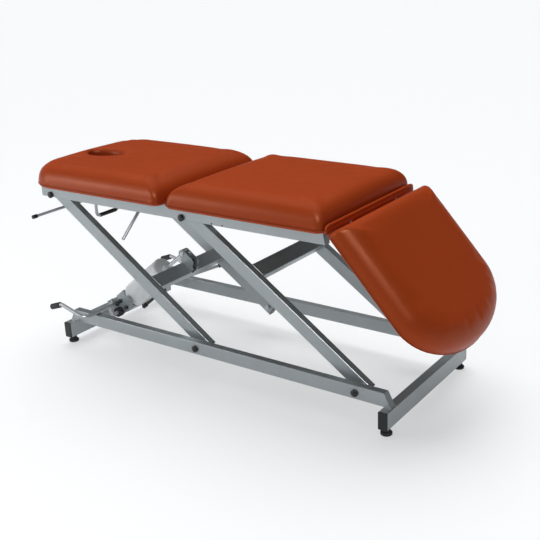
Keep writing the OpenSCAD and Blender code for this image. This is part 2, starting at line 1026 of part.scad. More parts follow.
module top_cross_foot() {
    color(paint)
        placed()
            difference() {
                top_cross(foot_bar_x, foot_bar_x + rail_w, low_z, low_z + high_depth);
                translate([foot_bar_x - over, 0, leg_spring_z])
                    rotate([0, 90, 0])
                        cylinder(h = rail_w + 2 * over, d = spring_tube_d);
            }
}

module top_pivot_bolts() {
    color(steel)
        placed()
            both_sides()
                for (x = [-arm_run, -arm_run + arm_spacing]) {
                    pivot_bolt(x, top_z, top_out, arm_in);
                    pivot_nut(x, top_z, arm_in);
                    difference() {
                        bar_y(x, top_z, -top_in, -arm_out - side_play, nut_d / 2 + washer_t);
                        bar_y(x, top_z, -top_in - over, -arm_out, pivot_d / 2);
                    }
                }
}

module top_pivot_caps() {
    color(black)
        placed()
            both_sides()
                for (x = [-arm_run, -arm_run + arm_spacing])
                    domed_cap(x, top_z, top_out);
}

// Small dark screws low on the outer face of each top rail.
module rail_screws() {
    screw_d = 5;
    screw_h = 1.5;
    screw_in = 137;
    screw_step = 48;
    screw_up = 6;
    screw_x = arm_spacing - arm_run + screw_in;
    color(black)
        placed()
            both_sides()
                for (x = [screw_x, screw_x + screw_step])
                    bar_y(x, top_bottom + screw_up, -top_out - screw_h, -top_out, screw_d / 2);
}

roll_r = 6;
roll_in = 30.8;
roll_x = top_x0 + roll_in;
roll_drop = 64;
roll_z = top_bottom - roll_drop;
roll_end = 326;
roll_bend_y = top_out - rail_w / 2;

// Paper roll holder: a round rod across the table that turns up to the far top rail.
module roll_rod() {
    bend = 22;
    color(steel)
        placed() {
            bar_y(roll_x, roll_z, -roll_end, roll_bend_y - bend, roll_r);
            translate([roll_x, roll_bend_y - bend, roll_z + bend])
                rotate([0, 90, 0])
                    rotate_extrude(angle = 90)
                        translate([bend, 0])
                            circle(r = roll_r);
            translate([roll_x, roll_bend_y, roll_z + bend])
                cylinder(h = top_bottom - roll_z - bend, r = roll_r);
        }
}

module roll_tip() {
    tip_l = 20;
    tip_r = 8;
    color(black)
        placed()
            bar_y(roll_x, roll_z, -roll_end - tip_l, -roll_end, tip_r);
}

board_t = 12;
board_inset = 16;

// Plan of the seat's board.
module seat_board_2d(grow) {
    in = board_inset - grow;
    translate([(seat_x0 + seat_x1) / 2, 0])
        rounded(seat_l - 2 * in, pad_w - 2 * in, 3 * board_inset);
}

module seat_board() {
    color(ply)
        placed()
            translate([0, 0, deck_z])
                linear_extrude(height = board_t)
                    seat_board_2d(0);
}

// Plates that carry the hinge pins of the backrest and of the leg section.
hinge_t = 6;
hinge_r = 9;
hinge_pin_d = 8;
leg_lug_y = 150;

module hinge_plates() {
    strip_plate_t = 3;
    strip_plate_w = 12;
    color(steel)
        placed() {
            both_sides() {
                plate_y(top_in - hinge_t, top_in) {
                    translate([hinge_x, hinge_z])
                        circle(r = hinge_r);
                    translate([hinge_x - hinge_r, top_bottom + 2 * tube_wall])
                        square([2 * hinge_r, hinge_z - top_bottom - 2 * tube_wall]);
                }
                bar_y(hinge_x, hinge_z, top_in - 3 * hinge_t, top_in - hinge_t, hinge_pin_d / 2);
                difference() {
                    plate_y(leg_lug_y, leg_lug_y + hinge_t) {
                        translate([leg_hinge_x, leg_hinge_z])
                            circle(r = hinge_r);
                        polygon([[foot_bar_x + rail_w, low_z + high_depth],
                            [foot_bar_x + rail_w, low_z + high_depth / 2],
                            [leg_hinge_x, leg_hinge_z - hinge_r],
                            [leg_hinge_x - hinge_r, deck_z - side_play]]);
                    }
                }
                bar_y(leg_hinge_x, leg_hinge_z, leg_lug_y + hinge_t, leg_lug_y + 3 * hinge_t, hinge_pin_d / 2);
            }
            translate([leg_hinge_x - strip_plate_w / 2, -leg_lug_y, deck_z - strip_plate_t])
                cube([strip_plate_w, 2 * leg_lug_y, strip_plate_t]);
        }
}

corner_steps = 6;
side_steps = 6;
bull_steps = 5;

// Outline points as [x, y, share of the end in the outward normal].
function corner(xc, yc, r, a0) = [for (k = [0:corner_steps])
    let (a = a0 + 90 * k / corner_steps) [xc + r * cos(a), yc + r * sin(a), cos(a)]];
function side(p, q) = [for (k = [1:side_steps - 1]) p + (q - p) * k / side_steps];
function joined(c) = concat(c[0], side(c[0][corner_steps], c[1][0]), c[1],
    side(c[1][corner_steps], c[2][0]), c[2], side(c[2][corner_steps], c[3][0]), c[3],
    side(c[3][corner_steps], c[0][0]));
function pad_outline(x0, x1, hw, r0, r1) = joined([
    corner(x1 - r1, hw - r1, r1, 0), corner(x0 + r0, hw - r0, r0, 90),
    corner(x0 + r0, r0 - hw, r0, 180), corner(x1 - r1, r1 - hw, r1, 270)]);

// Pad values: [x0, x1, half width, z0, top, side shoulder, x0 shoulder, x1 shoulder,
// side round, x0 round, x1 round, sag at the sides].
function pad_mid(v) = (v[0] + v[1]) / 2;
function pulled(p, v, ey, e0, e1) = let (c = pad_mid(v))
    [c + (p.x - c) * (1 - (p.x > c ? e1 : e0) / (v[1] - c)), p.y * (1 - ey / v[2])];
function shoulder(p, v) = v[5] + (p.z > 0 ? v[7] - v[5] : v[6] - v[5]) * p.z * p.z;
function crown(q, v) = v[4] - v[11] * (q.y / v[2]) * (q.y / v[2]);
function even_ring(outline, v, e, z) = [for (p = outline) let (q = pulled(p, v, e, e, e)) [q.x, q.y, z]];
function bull_ring(outline, v, t) = [for (p = outline)
    let (s = 1 - cos(t), q = pulled(p, v, s * v[8], s * v[9], s * v[10]), z0 = shoulder(p, v))
    [q.x, q.y, z0 + (crown(q, v) - z0) * sin(t)]];
function side_rings(outline, v) = concat(
    [for (g = seam_table_share) even_ring(outline, v, g[0] * seam_size, v[3] + g[1] * seam_size)],
    [for (k = [0:bull_steps]) bull_ring(outline, v, 90 * k / bull_steps)]);

// Side of a pad from its lower edge up: draw-in and height, in sizes of the seam.
seam_size = 5;
seam_table_share = [[1, 0], [0.2, 0.7], [0, 1.6], [0.5, 2.3], [0, 2.9]];

// Rings that close a pad's top towards its middle.
function field_rings(outline, v, shares) = [for (u = shares) [for (p = outline)
    let (q0 = pulled(p, v, v[8], v[9], v[10]), c = pad_mid(v), q = [c + (q0.x - c) * u, q0.y * u])
    [q.x, q.y, crown(q, v)]]];

// Triangles between rings of n points; a closed tube joins the last ring to the first.
function ring_faces(n, rings, closed) = [for (j = [0:rings - (closed ? 1 : 2)]) for (i = [0:n - 1])
    for (t = [0, 1]) let (a = j * n + i, b = j * n + (i + 1) % n,
        c = ((j + 1) % rings) * n + i, d = ((j + 1) % rings) * n + (i + 1) % n)
    t == 0 ? [a, b, d] : [a, d, c]];

// Closed pad from its rings, with a middle point below and one on top.
module plain_pad(rings, v) {
    n = len(rings[0]);
    m = len(rings);
    c = pad_mid(v);
    points = concat([for (r = rings) for (p = r) p], [[c, 0, v[3]], [c, 0, v[4]]]);
    low = [for (i = [0:n - 1]) [(i + 1) % n, i, m * n]];
    high = [for (i = [0:n - 1]) [(m - 1) * n + i, (m - 1) * n + (i + 1) % n, m * n + 1]];
    faces = concat(low, ring_faces(n, m, false), high);
    polyhedron(points = points, faces = [for (f = faces) [f[2], f[1], f[0]]]);
}

bull_l = 95;
side_round = 56;
pad_side_up = 30;
pad_sag = 4;
seat_v = [seat_x0, seat_x1, pad_half, deck_z + side_play, deck_z + pad_t, deck_z + pad_side_up,
    deck_z + hinge_rise, deck_z + pad_side_up, side_round, bull_l, side_round, pad_sag];
pad_corner = 28;
head_corner = 120;
seat_line = pad_outline(seat_x0, seat_x1, pad_half, pad_corner, pad_corner);
field_shares = [0.8, 0.5, 0.2];

module seat_cushion() {
    color(hide)
        placed()
            difference() {
                plain_pad(concat(side_rings(seat_line, seat_v), field_rings(seat_line, seat_v, field_shares)),
                    seat_v);
                translate([0, 0, deck_z - over])
                    linear_extrude(height = board_t + side_play + over)
                        seat_board_2d(side_play);
            }
}

// Padded strip over the hinge of the leg section, notched for the hinge.
module leg_hinge_strip() {
    strip_h = 32;
    top_r = strip_w / 2;
    strip_half = pad_half - 11;
    notch = hinge_r + 2 * side_play;
    x0 = seat_x1 + strip_gap;
    color(hide)
        placed()
            difference() {
                plate_y(-strip_half, strip_half) {
                    translate([x0, deck_z])
                        square([strip_w, strip_h - top_r]);
                    translate([x0 + top_r, deck_z + strip_h - top_r])
                        circle(r = top_r);
                }
                both_sides()
                    translate([x0 - over, leg_lug_y - 2 * side_play, deck_z - over])
                        cube([strip_w + 2 * over, 3 * hinge_t + 4 * side_play,
                            leg_hinge_z - deck_z + notch + over]);
            }
}

hole_in = 144;
hole_x = back_x0 + hole_in;
rim_r = 13;
back_half = pad_half - over;
end_round = 38;
back_v = [back_x0, back_x1, back_half, deck_z + side_play, deck_z + pad_t, deck_z + pad_side_up,
    deck_z + pad_side_up, deck_z + hinge_rise, side_round, end_round, bull_l, pad_sag];
back_line = pad_outline(back_x0, back_x1, back_half, head_corner, pad_corner);

// Point of the oval round the face hole that lies towards an outline point.
function oval(p, grow) = let (a = atan2(p.y / (hole_w / 2), (p.x - hole_x) / (hole_l / 2)))
    [hole_x + (hole_l / 2 + grow) * cos(a), (hole_w / 2 + grow) * sin(a)];
function hole_ring(grow, up) = [for (p = back_line) let (q = oval(p, grow)) [q.x, q.y, back_v[4] + up]];
function toward_hole(u) = [for (p = back_line)
    let (q = pulled(p, back_v, back_v[8], back_v[9], back_v[10]), h = oval(p, rim_r),
        m = q + (h - q) * u) [m.x, m.y, crown(m, back_v)]];

// Backrest padding: one ring-shaped body round the face hole, crowned, with a rolled edge.
module back_cushion() {
    rim_steps = 4;
    rings = concat(side_rings(back_line, back_v),
        [toward_hole(0.25), toward_hole(0.55), toward_hole(0.85)],
        [for (k = [0:rim_steps]) let (a = 90 * k / rim_steps)
            hole_ring(rim_r * (1 - sin(a)), -rim_r * (1 - cos(a)))],
        [hole_ring(0, back_v[3] - back_v[4])]);
    points = [for (r = rings) for (p = r) p];
    color(hide)
        placed()
            difference() {
                polyhedron(points = points, faces = [for (f = ring_faces(len(back_line), len(rings), true))
                    [f[2], f[1], f[0]]]);
                difference() {
                    translate([0, 0, deck_z - over])
                        linear_extrude(height = board_t + side_play + over)
                            back_board_2d(side_play);
                    translate([hole_x, 0, deck_z - 2 * over])
                        linear_extrude(height = board_t + 4 * over)
                            oval_2d(board_rim - side_play);
                }
            }
}

board_rim = 12;

// Oval of the face hole in plan, grown outwards.
module oval_2d(grow) {
    steps = 72;
    points = [for (k = [1:steps]) let (a = 360 * k / steps)
        [(hole_l / 2 + grow) * cos(a), (hole_w / 2 + grow) * sin(a)]];
    polygon(points);
}

// Plan of the backrest's board, the outline of the padding drawn in all round.
module back_board_2d(grow) {
    in = board_inset - grow;
    line = pad_outline(back_x0 + in, back_x1 - in, back_half - in, head_corner - in, 3 * board_inset);
    polygon([for (p = line) [p.x, p.y]]);
}

module back_board() {
    color(ply)
        placed()
            difference() {
                translate([0, 0, deck_z])
                    linear_extrude(height = board_t)
                        back_board_2d(0);
                translate([hole_x, 0, deck_z - over])
                    linear_extrude(height = board_t + 2 * over)
                        oval_2d(board_rim);
            }
}

// Backrest frame: two long tubes, two cross tubes, hinge lugs and the slotted lever that
// the gas spring pushes.
bf_h = 20;
bf_y = 160;
bf_gap = 17;
bf_front = hinge_x - bf_gap;
back_slot_play = 1.7;
lever_slot_r = spring_pin_d / 2 + back_slot_play;

module back_frame() {
    front_w = 30;
    lug_out = top_in - hinge_t - side_play;
    lug_y = lug_out - hinge_t;
    rear_in = 474;
    rear_x = hinge_x - rear_in;
    end_gap = 5.8;
    end_x = top_x0 + head_bar_w + end_gap;
    z0 = deck_z - bf_h;
    arm = hinge_z - back_spring_z;
    plate_in = 7;
    plate_t = 5;
    half = back_swing / 2;
    reach = arm / cos(half);
    neck = 2;
    toe = 8;
    color(paint)
        placed() {
            both_sides()
                translate([0, bf_y + front_w / 2, z0 + bf_h / 2])
                    bar_x(end_x, bf_front - front_w)
                        tube_section(front_w, bf_h);
            translate([bf_front - front_w / 2, lug_y, z0 + bf_h / 2])
                rotate([90, 0, 0])
                    linear_extrude(height = 2 * lug_y)
                        tube_section(front_w, bf_h);
            translate([rear_x + front_w / 2, bf_y, z0 + bf_h / 2])
                rotate([90, 0, 0])
                    linear_extrude(height = 2 * bf_y)
                        tube_section(front_w, bf_h);
            both_sides()
                difference() {
                    plate_y(lug_y, lug_out) {
                        translate([hinge_x, hinge_z])
                            circle(r = hinge_r);
                        translate([hinge_x - hinge_r, z0])
                            square([2 * hinge_r, hinge_z - z0]);
                        translate([bf_front - front_w, z0])
                            square([hinge_x - bf_front + front_w, bf_h - side_play]);
                    }
                    bar_y(hinge_x, hinge_z, lug_y - over, lug_out + over, hinge_pin_d / 2 + running);
                }
            both_sides()
                plate_y(plate_in, plate_in + plate_t)
                    difference() {
                        union() {
                            translate([hinge_x, hinge_z])
                                rotate(half)
                                    slot_2d([0, -arm + spring_pin_d], [0, -reach], 2 * lever_slot_r - spring_pin_d / 5);
                            polygon([[bf_front - front_w, z0], [bf_front - front_w, z0 + bf_h],
                                [bf_front, z0 + bf_h], [hinge_x + arm * sin(half), hinge_z - arm * cos(half) + neck],
                                [hinge_x + arm * sin(half), hinge_z - reach * cos(half) - toe], [bf_front, z0]]);
                        }
                        translate([hinge_x, hinge_z])
                            rotate(half)
                                slot_2d([0, -arm], [0, -reach], lever_slot_r);
                        translate([hinge_x - 2 * arm, deck_z - side_play])
                            square([4 * arm, 2 * arm]);
                    }
        }
}

grab_r = 6;
grab_in_x = 461;
grab_x = hinge_x - grab_in_x;
grab_drop = 126;
grab_z = deck_z - grab_drop;
grab_out = 22;
grab_in = 60;
grab_y = [-bf_y - grab_out, -grab_in];

// Grab handle under the backrest, hung from the near long tube and the rear cross tube.
module grab_bar() {
    bend = 16;
    top = deck_z - bf_h;
    color(steel)
        placed()
            translate([grab_x, 0, 0])
                rotate([90, 0, 90])
                    bent_bar([[grab_y[0], top], [grab_y[0], grab_z], [grab_y[1], grab_z], [grab_y[1], top]],
                        grab_r, bend);
}

module grab_grip() {
    grip_r = 8;
    grip_in = 17;
    color(black)
        placed()
            difference() {
                bar_y(grab_x, grab_z, grab_y[0] + grip_in, grab_y[1] - grip_in, grip_r);
                bar_y(grab_x, grab_z, grab_y[0] + grip_in - over, grab_y[1] - grip_in + over, grab_r);
            }
}

leg_side_up = 30;
leg_start_up = 24;
leg_tip_up = 30;
leg_v = [leg_start, leg_end, pad_half + over, side_play, leg_t, leg_side_up, leg_start_up, leg_tip_up,
    side_round, side_round, end_round, pad_sag];
leg_arc = 190;
leg_corner = 16;
function leg_tip(n) = [for (k = [-n:n]) let (a = 90 * k / n)
    [leg_end - leg_arc + leg_arc * cos(a), leg_v[2] * sin(a), cos(a)]];
leg_tip_line = leg_tip(11);
leg_back_line = concat(corner(leg_start + leg_corner, leg_v[2] - leg_corner, leg_corner, 90),
    side([leg_start, leg_v[2] - leg_corner, -1], [leg_start, leg_corner - leg_v[2], -1]),
    corner(leg_start + leg_corner, leg_corner - leg_v[2], leg_corner, 180));
leg_line = concat(leg_tip_line,
    side([leg_end - leg_arc, leg_v[2], 0], [leg_start + leg_corner, leg_v[2], 0]), leg_back_line,
    side([leg_start + leg_corner, -leg_v[2], 0], [leg_end - leg_arc, -leg_v[2], 0]));
leg_rings = side_rings(leg_line, leg_v);

module leg_cushion() {
    color(hide)
        placed()
            on_leg()
                difference() {
                    plain_pad(concat(leg_rings, field_rings(leg_line, leg_v, field_shares)), leg_v);
                    translate([0, 0, -over])
                        linear_extrude(height = board_t + side_play + over)
                            leg_board_2d(side_play);
                }
}

// Plan of the leg section's board: a rectangle and half an ellipse.
module leg_board_2d(grow) {
    hw = leg_v[2] - board_inset + grow;
    tip = leg_arc - board_inset + grow;
    x0 = leg_start + board_inset - grow;
    x1 = leg_end - leg_arc;
    steps = 18;
    points = [for (k = [-steps:steps]) let (a = 90 * k / steps) [x1 + tip * cos(a), hw * sin(a)]];
    polygon(concat(points, [[x0 + board_inset, hw], [x0, hw - board_inset], [x0, board_inset - hw],
        [x0 + board_inset, -hw]]));
}

module leg_board() {
    color(ply)
        placed()
            on_leg()
                linear_extrude(height = board_t)
                    leg_board_2d(0);
}

// Leg frame: two long tubes, two cross tubes, hinge lugs and the slotted lever plates.
module leg_frame() {
    w = 30;
    h = 20;
    start = 22;
    end = 430;
    long_y = leg_lug_y + 2 * hinge_t + side_play;
    far_x = 380;
    arm = leg_hinge_z - leg_spring_z;
    half = leg_angle / 2;
    reach = arm / cos(half);
    plate_in = 7;
    plate_t = 5;
    slot_play = 0.7;
    slot_r = spring_pin_d / 2 + slot_play;
    slot_wall = 2;
    toe = [5, -5];
    neck = [4, 8];
    lug_y = leg_lug_y + hinge_t + side_play;
    color(paint)
        placed()
            on_leg() {
                both_sides()
                    translate([0, long_y + w / 2, -h / 2])
                        bar_x(start, end)
                            tube_section(w, h);
                for (x = [start, far_x])
                    translate([x + w / 2, long_y, -h / 2])
                        rotate([90, 0, 0])
                            linear_extrude(height = 2 * long_y)
                                tube_section(w, h);
                both_sides()
                    difference() {
                        plate_y(lug_y, lug_y + hinge_t) {
                            circle(r = hinge_r);
                            polygon([[-hinge_r / 3, -hinge_r], [start + w, -h], [start + w, -side_play],
                                [hinge_r, -side_play], [0, 0]]);
                        }
                        bar_y(0, 0, lug_y - over, lug_y + hinge_t + over, hinge_pin_d / 2 + running);
                    }
                both_sides()
                    plate_y(plate_in, plate_in + plate_t)
                        difference() {
                            union() {
                                rotate(half)
                                    slot_2d([0, -arm + spring_pin_d / 2], [0, -reach], 2 * slot_r - slot_wall);
                                polygon([[start, -side_play], [start + w, -side_play], [start + w, -h],
                                    [arm * sin(half) + toe.x, -reach * cos(half) + toe.y],
                                    [arm * sin(half) + neck.x, -arm * cos(half) + neck.y]]);
                            }
                            rotate(half)
                                slot_2d([0, -arm], [0, -reach], slot_r);
                        }
            }
}

// Cylinder of a gas spring clamped in a cross tube, running along the table.
module spring_tube(x0, x1, z, mouth_low) {
    wall = 2;
    difference() {
        translate([x0, 0, z])
            rotate([0, 90, 0])
                cylinder(h = x1 - x0, d = spring_tube_d);
        translate([mouth_low ? x0 - over : x0 + 2 * wall, 0, z])
            rotate([0, 90, 0])
                cylinder(h = x1 - x0 - 2 * wall + over, d = spring_rod_d + 2 * running);
    }
}

// Rod of a gas spring from its inner end to the cross pin at its outer end.
module spring_rod(inner, pin_x, z) {
    pin_half = 14;
    eye_half = 6;
    eye_r = 9;
    translate([min(inner, pin_x), 0, z])
        rotate([0, 90, 0])
            cylinder(h = abs(pin_x - inner), d = spring_rod_d);
    bar_y(pin_x, z, -pin_half, pin_half, spring_pin_d / 2);
    bar_y(pin_x, z, -eye_half, eye_half, eye_r);
}

back_pin_x = hinge_x + (hinge_z - back_spring_z) * tan(back_swing / 2);
leg_pin_x = leg_hinge_x - (leg_hinge_z - leg_spring_z) * tan(leg_angle / 2);
back_tube_in = 122;
back_tube_x = hinge_x + back_tube_in;
back_tube_share = 0.3765;
back_tube_l = back_tube_share * seat_l;
leg_tube_share = 0.3313;
leg_tube_l = leg_tube_share * seat_l;
rod_hidden = 60;

module back_spring_tube() {
    color(black)
        placed()
            spring_tube(back_tube_x, back_tube_x + back_tube_l, back_spring_z, true);
}

module back_spring_rod() {
    color(steel)
        placed()
            spring_rod(back_tube_x + back_tube_l - rod_hidden, back_pin_x, back_spring_z);
}

module leg_spring_tube() {
    color(black)
        placed()
            spring_tube(foot_bar_x + rail_w - leg_tube_l, foot_bar_x + rail_w + over, leg_spring_z, false);
}

module leg_spring_rod() {
    color(steel)
        placed()
            spring_rod(foot_bar_x + rail_w - leg_tube_l + rod_hidden, leg_pin_x, leg_spring_z);
}

// Release lever of the backrest spring: a rod that hangs outwards under the near rail.
module release_lever() {
    rod_r = 6;
    boss_r = 10;
    bend = 20;
    knee_y = -200;
    knee_drop = 24;
    end_y = -293;
    end_drop = 105;
    color(steel)
        placed()
            translate([release_x, 0, 0])
                difference() {
                    union() {
                        translate([-release_l / 2, release_y, release_z])
                            rotate([0, 90, 0])
                                cylinder(h = release_l, r = boss_r);
                        rotate([90, 0, 90])
                            bent_bar([[release_y, release_z], [knee_y, top_bottom - knee_drop],
                                [end_y, top_bottom - end_drop]], rod_r, bend);
                    }
                    translate([-release_l / 2 - over, release_y, release_z])
                        rotate([0, 90, 0])
                            cylinder(h = release_l + 2 * over, d = release_pin_d + 2 * running);
                }
}

leg_reach = max([for (r = leg_rings) for (p = r)
    leg_hinge_x + p.x * cos(leg_angle) + p.z * sin(leg_angle)]);
mid_x = (back_x0 + leg_reach) / 2;

base_rail_near();
base_rail_far();
base_cross_head();
base_cross_foot();
base_end_caps();
foot_head_near();
foot_head_far();
foot_foot_near();
foot_foot_far();
base_pivot_bolts();
base_pivot_caps();
base_spacers();
pump_bracket();
pump_pin();
head_arm_near();
head_arm_far();
head_arm_cross();
head_arm_plugs();
ram_ears();
ram_pin();
foot_arm_near();
foot_arm_far();
foot_arm_cross();
foot_arm_plugs();
top_rail_near();
top_rail_far();
top_cross_head();
top_cross_back();
top_cross_mid();
top_cross_foot();
top_pivot_bolts();
top_pivot_caps();
rail_screws();
roll_rod();
roll_tip();
seat_board();
seat_cushion();
leg_hinge_strip();
hinge_plates();
back_frame();
back_board();
back_cushion();
grab_bar();
grab_grip();
leg_frame();
leg_board();
leg_cushion();
back_spring_tube();
back_spring_rod();
leg_spring_tube();
leg_spring_rod();
release_lever();
pump_block();
reservoir();
pump_ram();
return_pipe();
pedal_bar();
pedal_grips();
lowering_lever();
lever_tip();
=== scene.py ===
"""Looks of the hydraulic treatment table: padding, finishes, floor, light and camera.

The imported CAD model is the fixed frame. This script gives every carried-over node its
finish, replaces the soft nodes with padded pieces, and adds the small visible pieces
that ride on the frame's bodies. All lengths are metres in the frame of the CAD model.
"""

import logging
import math
from dataclasses import dataclass
from enum import Enum
from typing import Dict, List, Optional, Sequence, Tuple

import bmesh
import bpy
import numpy as np
from mathutils import Matrix, Vector
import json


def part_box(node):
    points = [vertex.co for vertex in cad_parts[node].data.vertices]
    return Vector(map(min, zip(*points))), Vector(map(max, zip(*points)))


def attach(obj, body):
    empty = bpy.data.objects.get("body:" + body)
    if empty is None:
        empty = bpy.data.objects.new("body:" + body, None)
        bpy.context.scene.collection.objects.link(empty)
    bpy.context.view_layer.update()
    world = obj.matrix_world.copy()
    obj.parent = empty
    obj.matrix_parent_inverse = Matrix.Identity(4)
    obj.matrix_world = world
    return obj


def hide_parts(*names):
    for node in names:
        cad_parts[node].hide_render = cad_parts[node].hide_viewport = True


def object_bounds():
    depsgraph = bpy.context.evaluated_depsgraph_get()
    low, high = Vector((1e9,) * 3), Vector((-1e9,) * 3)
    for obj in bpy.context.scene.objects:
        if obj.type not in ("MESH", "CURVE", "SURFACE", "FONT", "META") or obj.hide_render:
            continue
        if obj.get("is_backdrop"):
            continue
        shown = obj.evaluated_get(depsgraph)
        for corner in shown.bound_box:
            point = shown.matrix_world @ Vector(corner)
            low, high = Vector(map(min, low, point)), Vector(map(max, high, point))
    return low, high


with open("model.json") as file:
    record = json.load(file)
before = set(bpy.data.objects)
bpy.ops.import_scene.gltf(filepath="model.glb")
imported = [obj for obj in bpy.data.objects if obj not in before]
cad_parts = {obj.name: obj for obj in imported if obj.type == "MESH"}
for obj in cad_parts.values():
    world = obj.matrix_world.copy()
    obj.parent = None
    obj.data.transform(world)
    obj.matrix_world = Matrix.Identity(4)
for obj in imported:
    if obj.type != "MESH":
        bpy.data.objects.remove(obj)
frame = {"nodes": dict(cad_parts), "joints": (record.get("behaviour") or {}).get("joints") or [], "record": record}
LOG = logging.getLogger("table")
Point = Tuple[float, float, float]
Color = Tuple[float, float, float]
MM = 0.001


class Slot(str, Enum):
    """Material slots of the record."""

    PAINT = "frame_paint"
    PLASTIC = "black_plastic"
    RUBBER = "black_rubber"
    ZINC = "zinc_steel"
    BLACK_METAL = "black_metal"
    SILVER = "silver_bar"
    CHROME = "polished_rod"
    RESERVOIR = "pale_reservoir"
    HIDE = "upholstery"
    PLY = "plywood"


# Materials


@dataclass(frozen=True)
class Finish:
    """Numbers of one procedural finish.

    Args:
        name: material name.
        color: linear base colour.
        metallic: metallic share.
        rough: middle roughness.
        rough_spread: how far the roughness wanders.
        grain_scale: size of the fine relief, in cells per metre.
        grain: strength of the fine relief.
        tone_scale: size of the colour patches, per metre.
        tone: how far the colour wanders.
        coat: weight of the clear coat.
        edge: radius of the softened edges, in metres.
        leather: whether it has the hide's grain in place of the plain relief.
    """

    name: str
    color: Color
    metallic: float
    rough: float
    rough_spread: float
    grain_scale: float
    grain: float
    tone_scale: float
    tone: float
    coat: float = 0.0
    edge: float = 0.0
    leather: bool = False


FINISHES: Dict[Slot, Finish] = {
    Slot.PAINT: Finish(
        "satin_silver_paint", (0.385, 0.42, 0.435), 0.5, 0.34, 0.04,
        900.0, 0.05, 7.0, 0.05, coat=0.12, edge=0.0012),
    Slot.PLASTIC: Finish(
        "black_moulded_plastic", (0.007, 0.0075, 0.0085), 0.0, 0.32, 0.08,
        2200.0, 0.08, 40.0, 0.2, edge=0.0008),
    Slot.RUBBER: Finish(
        "black_rubber", (0.010, 0.010, 0.0105), 0.0, 0.55, 0.1, 1600.0, 0.15, 60.0, 0.25, edge=0.0008),
    Slot.ZINC: Finish(
        "zinc_plated_steel", (0.55, 0.57, 0.60), 0.9, 0.34, 0.1, 700.0, 0.05, 90.0, 0.12, edge=0.0004),
    Slot.BLACK_METAL: Finish(
        "black_coated_steel", (0.022, 0.023, 0.026), 0.1, 0.4, 0.08, 1200.0, 0.06, 30.0, 0.2, edge=0.0006),
    Slot.SILVER: Finish(
        "satin_silver_bar", (0.50, 0.52, 0.54), 0.45, 0.36, 0.06, 900.0, 0.04, 12.0, 0.06, edge=0.0005),
    Slot.CHROME: Finish(
        "hard_chrome", (0.72, 0.74, 0.76), 1.0, 0.16, 0.05, 500.0, 0.01, 25.0, 0.03, edge=0.0003),
    Slot.RESERVOIR: Finish(
        "pale_coated_cylinder", (0.90, 0.93, 0.94), 0.0, 0.4, 0.08,
        800.0, 0.05, 14.0, 0.05, coat=0.2, edge=0.001),
    Slot.HIDE: Finish(
        "terracotta_leatherette", (0.42, 0.056, 0.0095), 0.0, 0.38, 0.04, 620.0, 0.1, 5.0, 0.04, leather=True),
    Slot.PLY: Finish(
        "dark_stained_plywood", (0.10, 0.075, 0.055), 0.0, 0.6, 0.1, 300.0, 0.12, 18.0, 0.25, edge=0.0006),
}

COAT_ROUGH = 0.25
ROUGH_TO_TONE_SCALE = 3.7
PORE_TONE = 0.82
HIDE_SPECULAR = 0.36
HIDE_SPECULAR_TINT = (1.0, 0.42, 0.24, 1)
WELT_TINT = 0.72


def preset(node: bpy.types.ShaderNode, values: Dict[str, object]) -> bpy.types.ShaderNode:
    """Sets inputs of a node.

    Args:
        node: the node.
        values: values by name of input.

    Returns:
        The same node.
    """
    for label, value in values.items():
        node.inputs[label].default_value = value
    return node


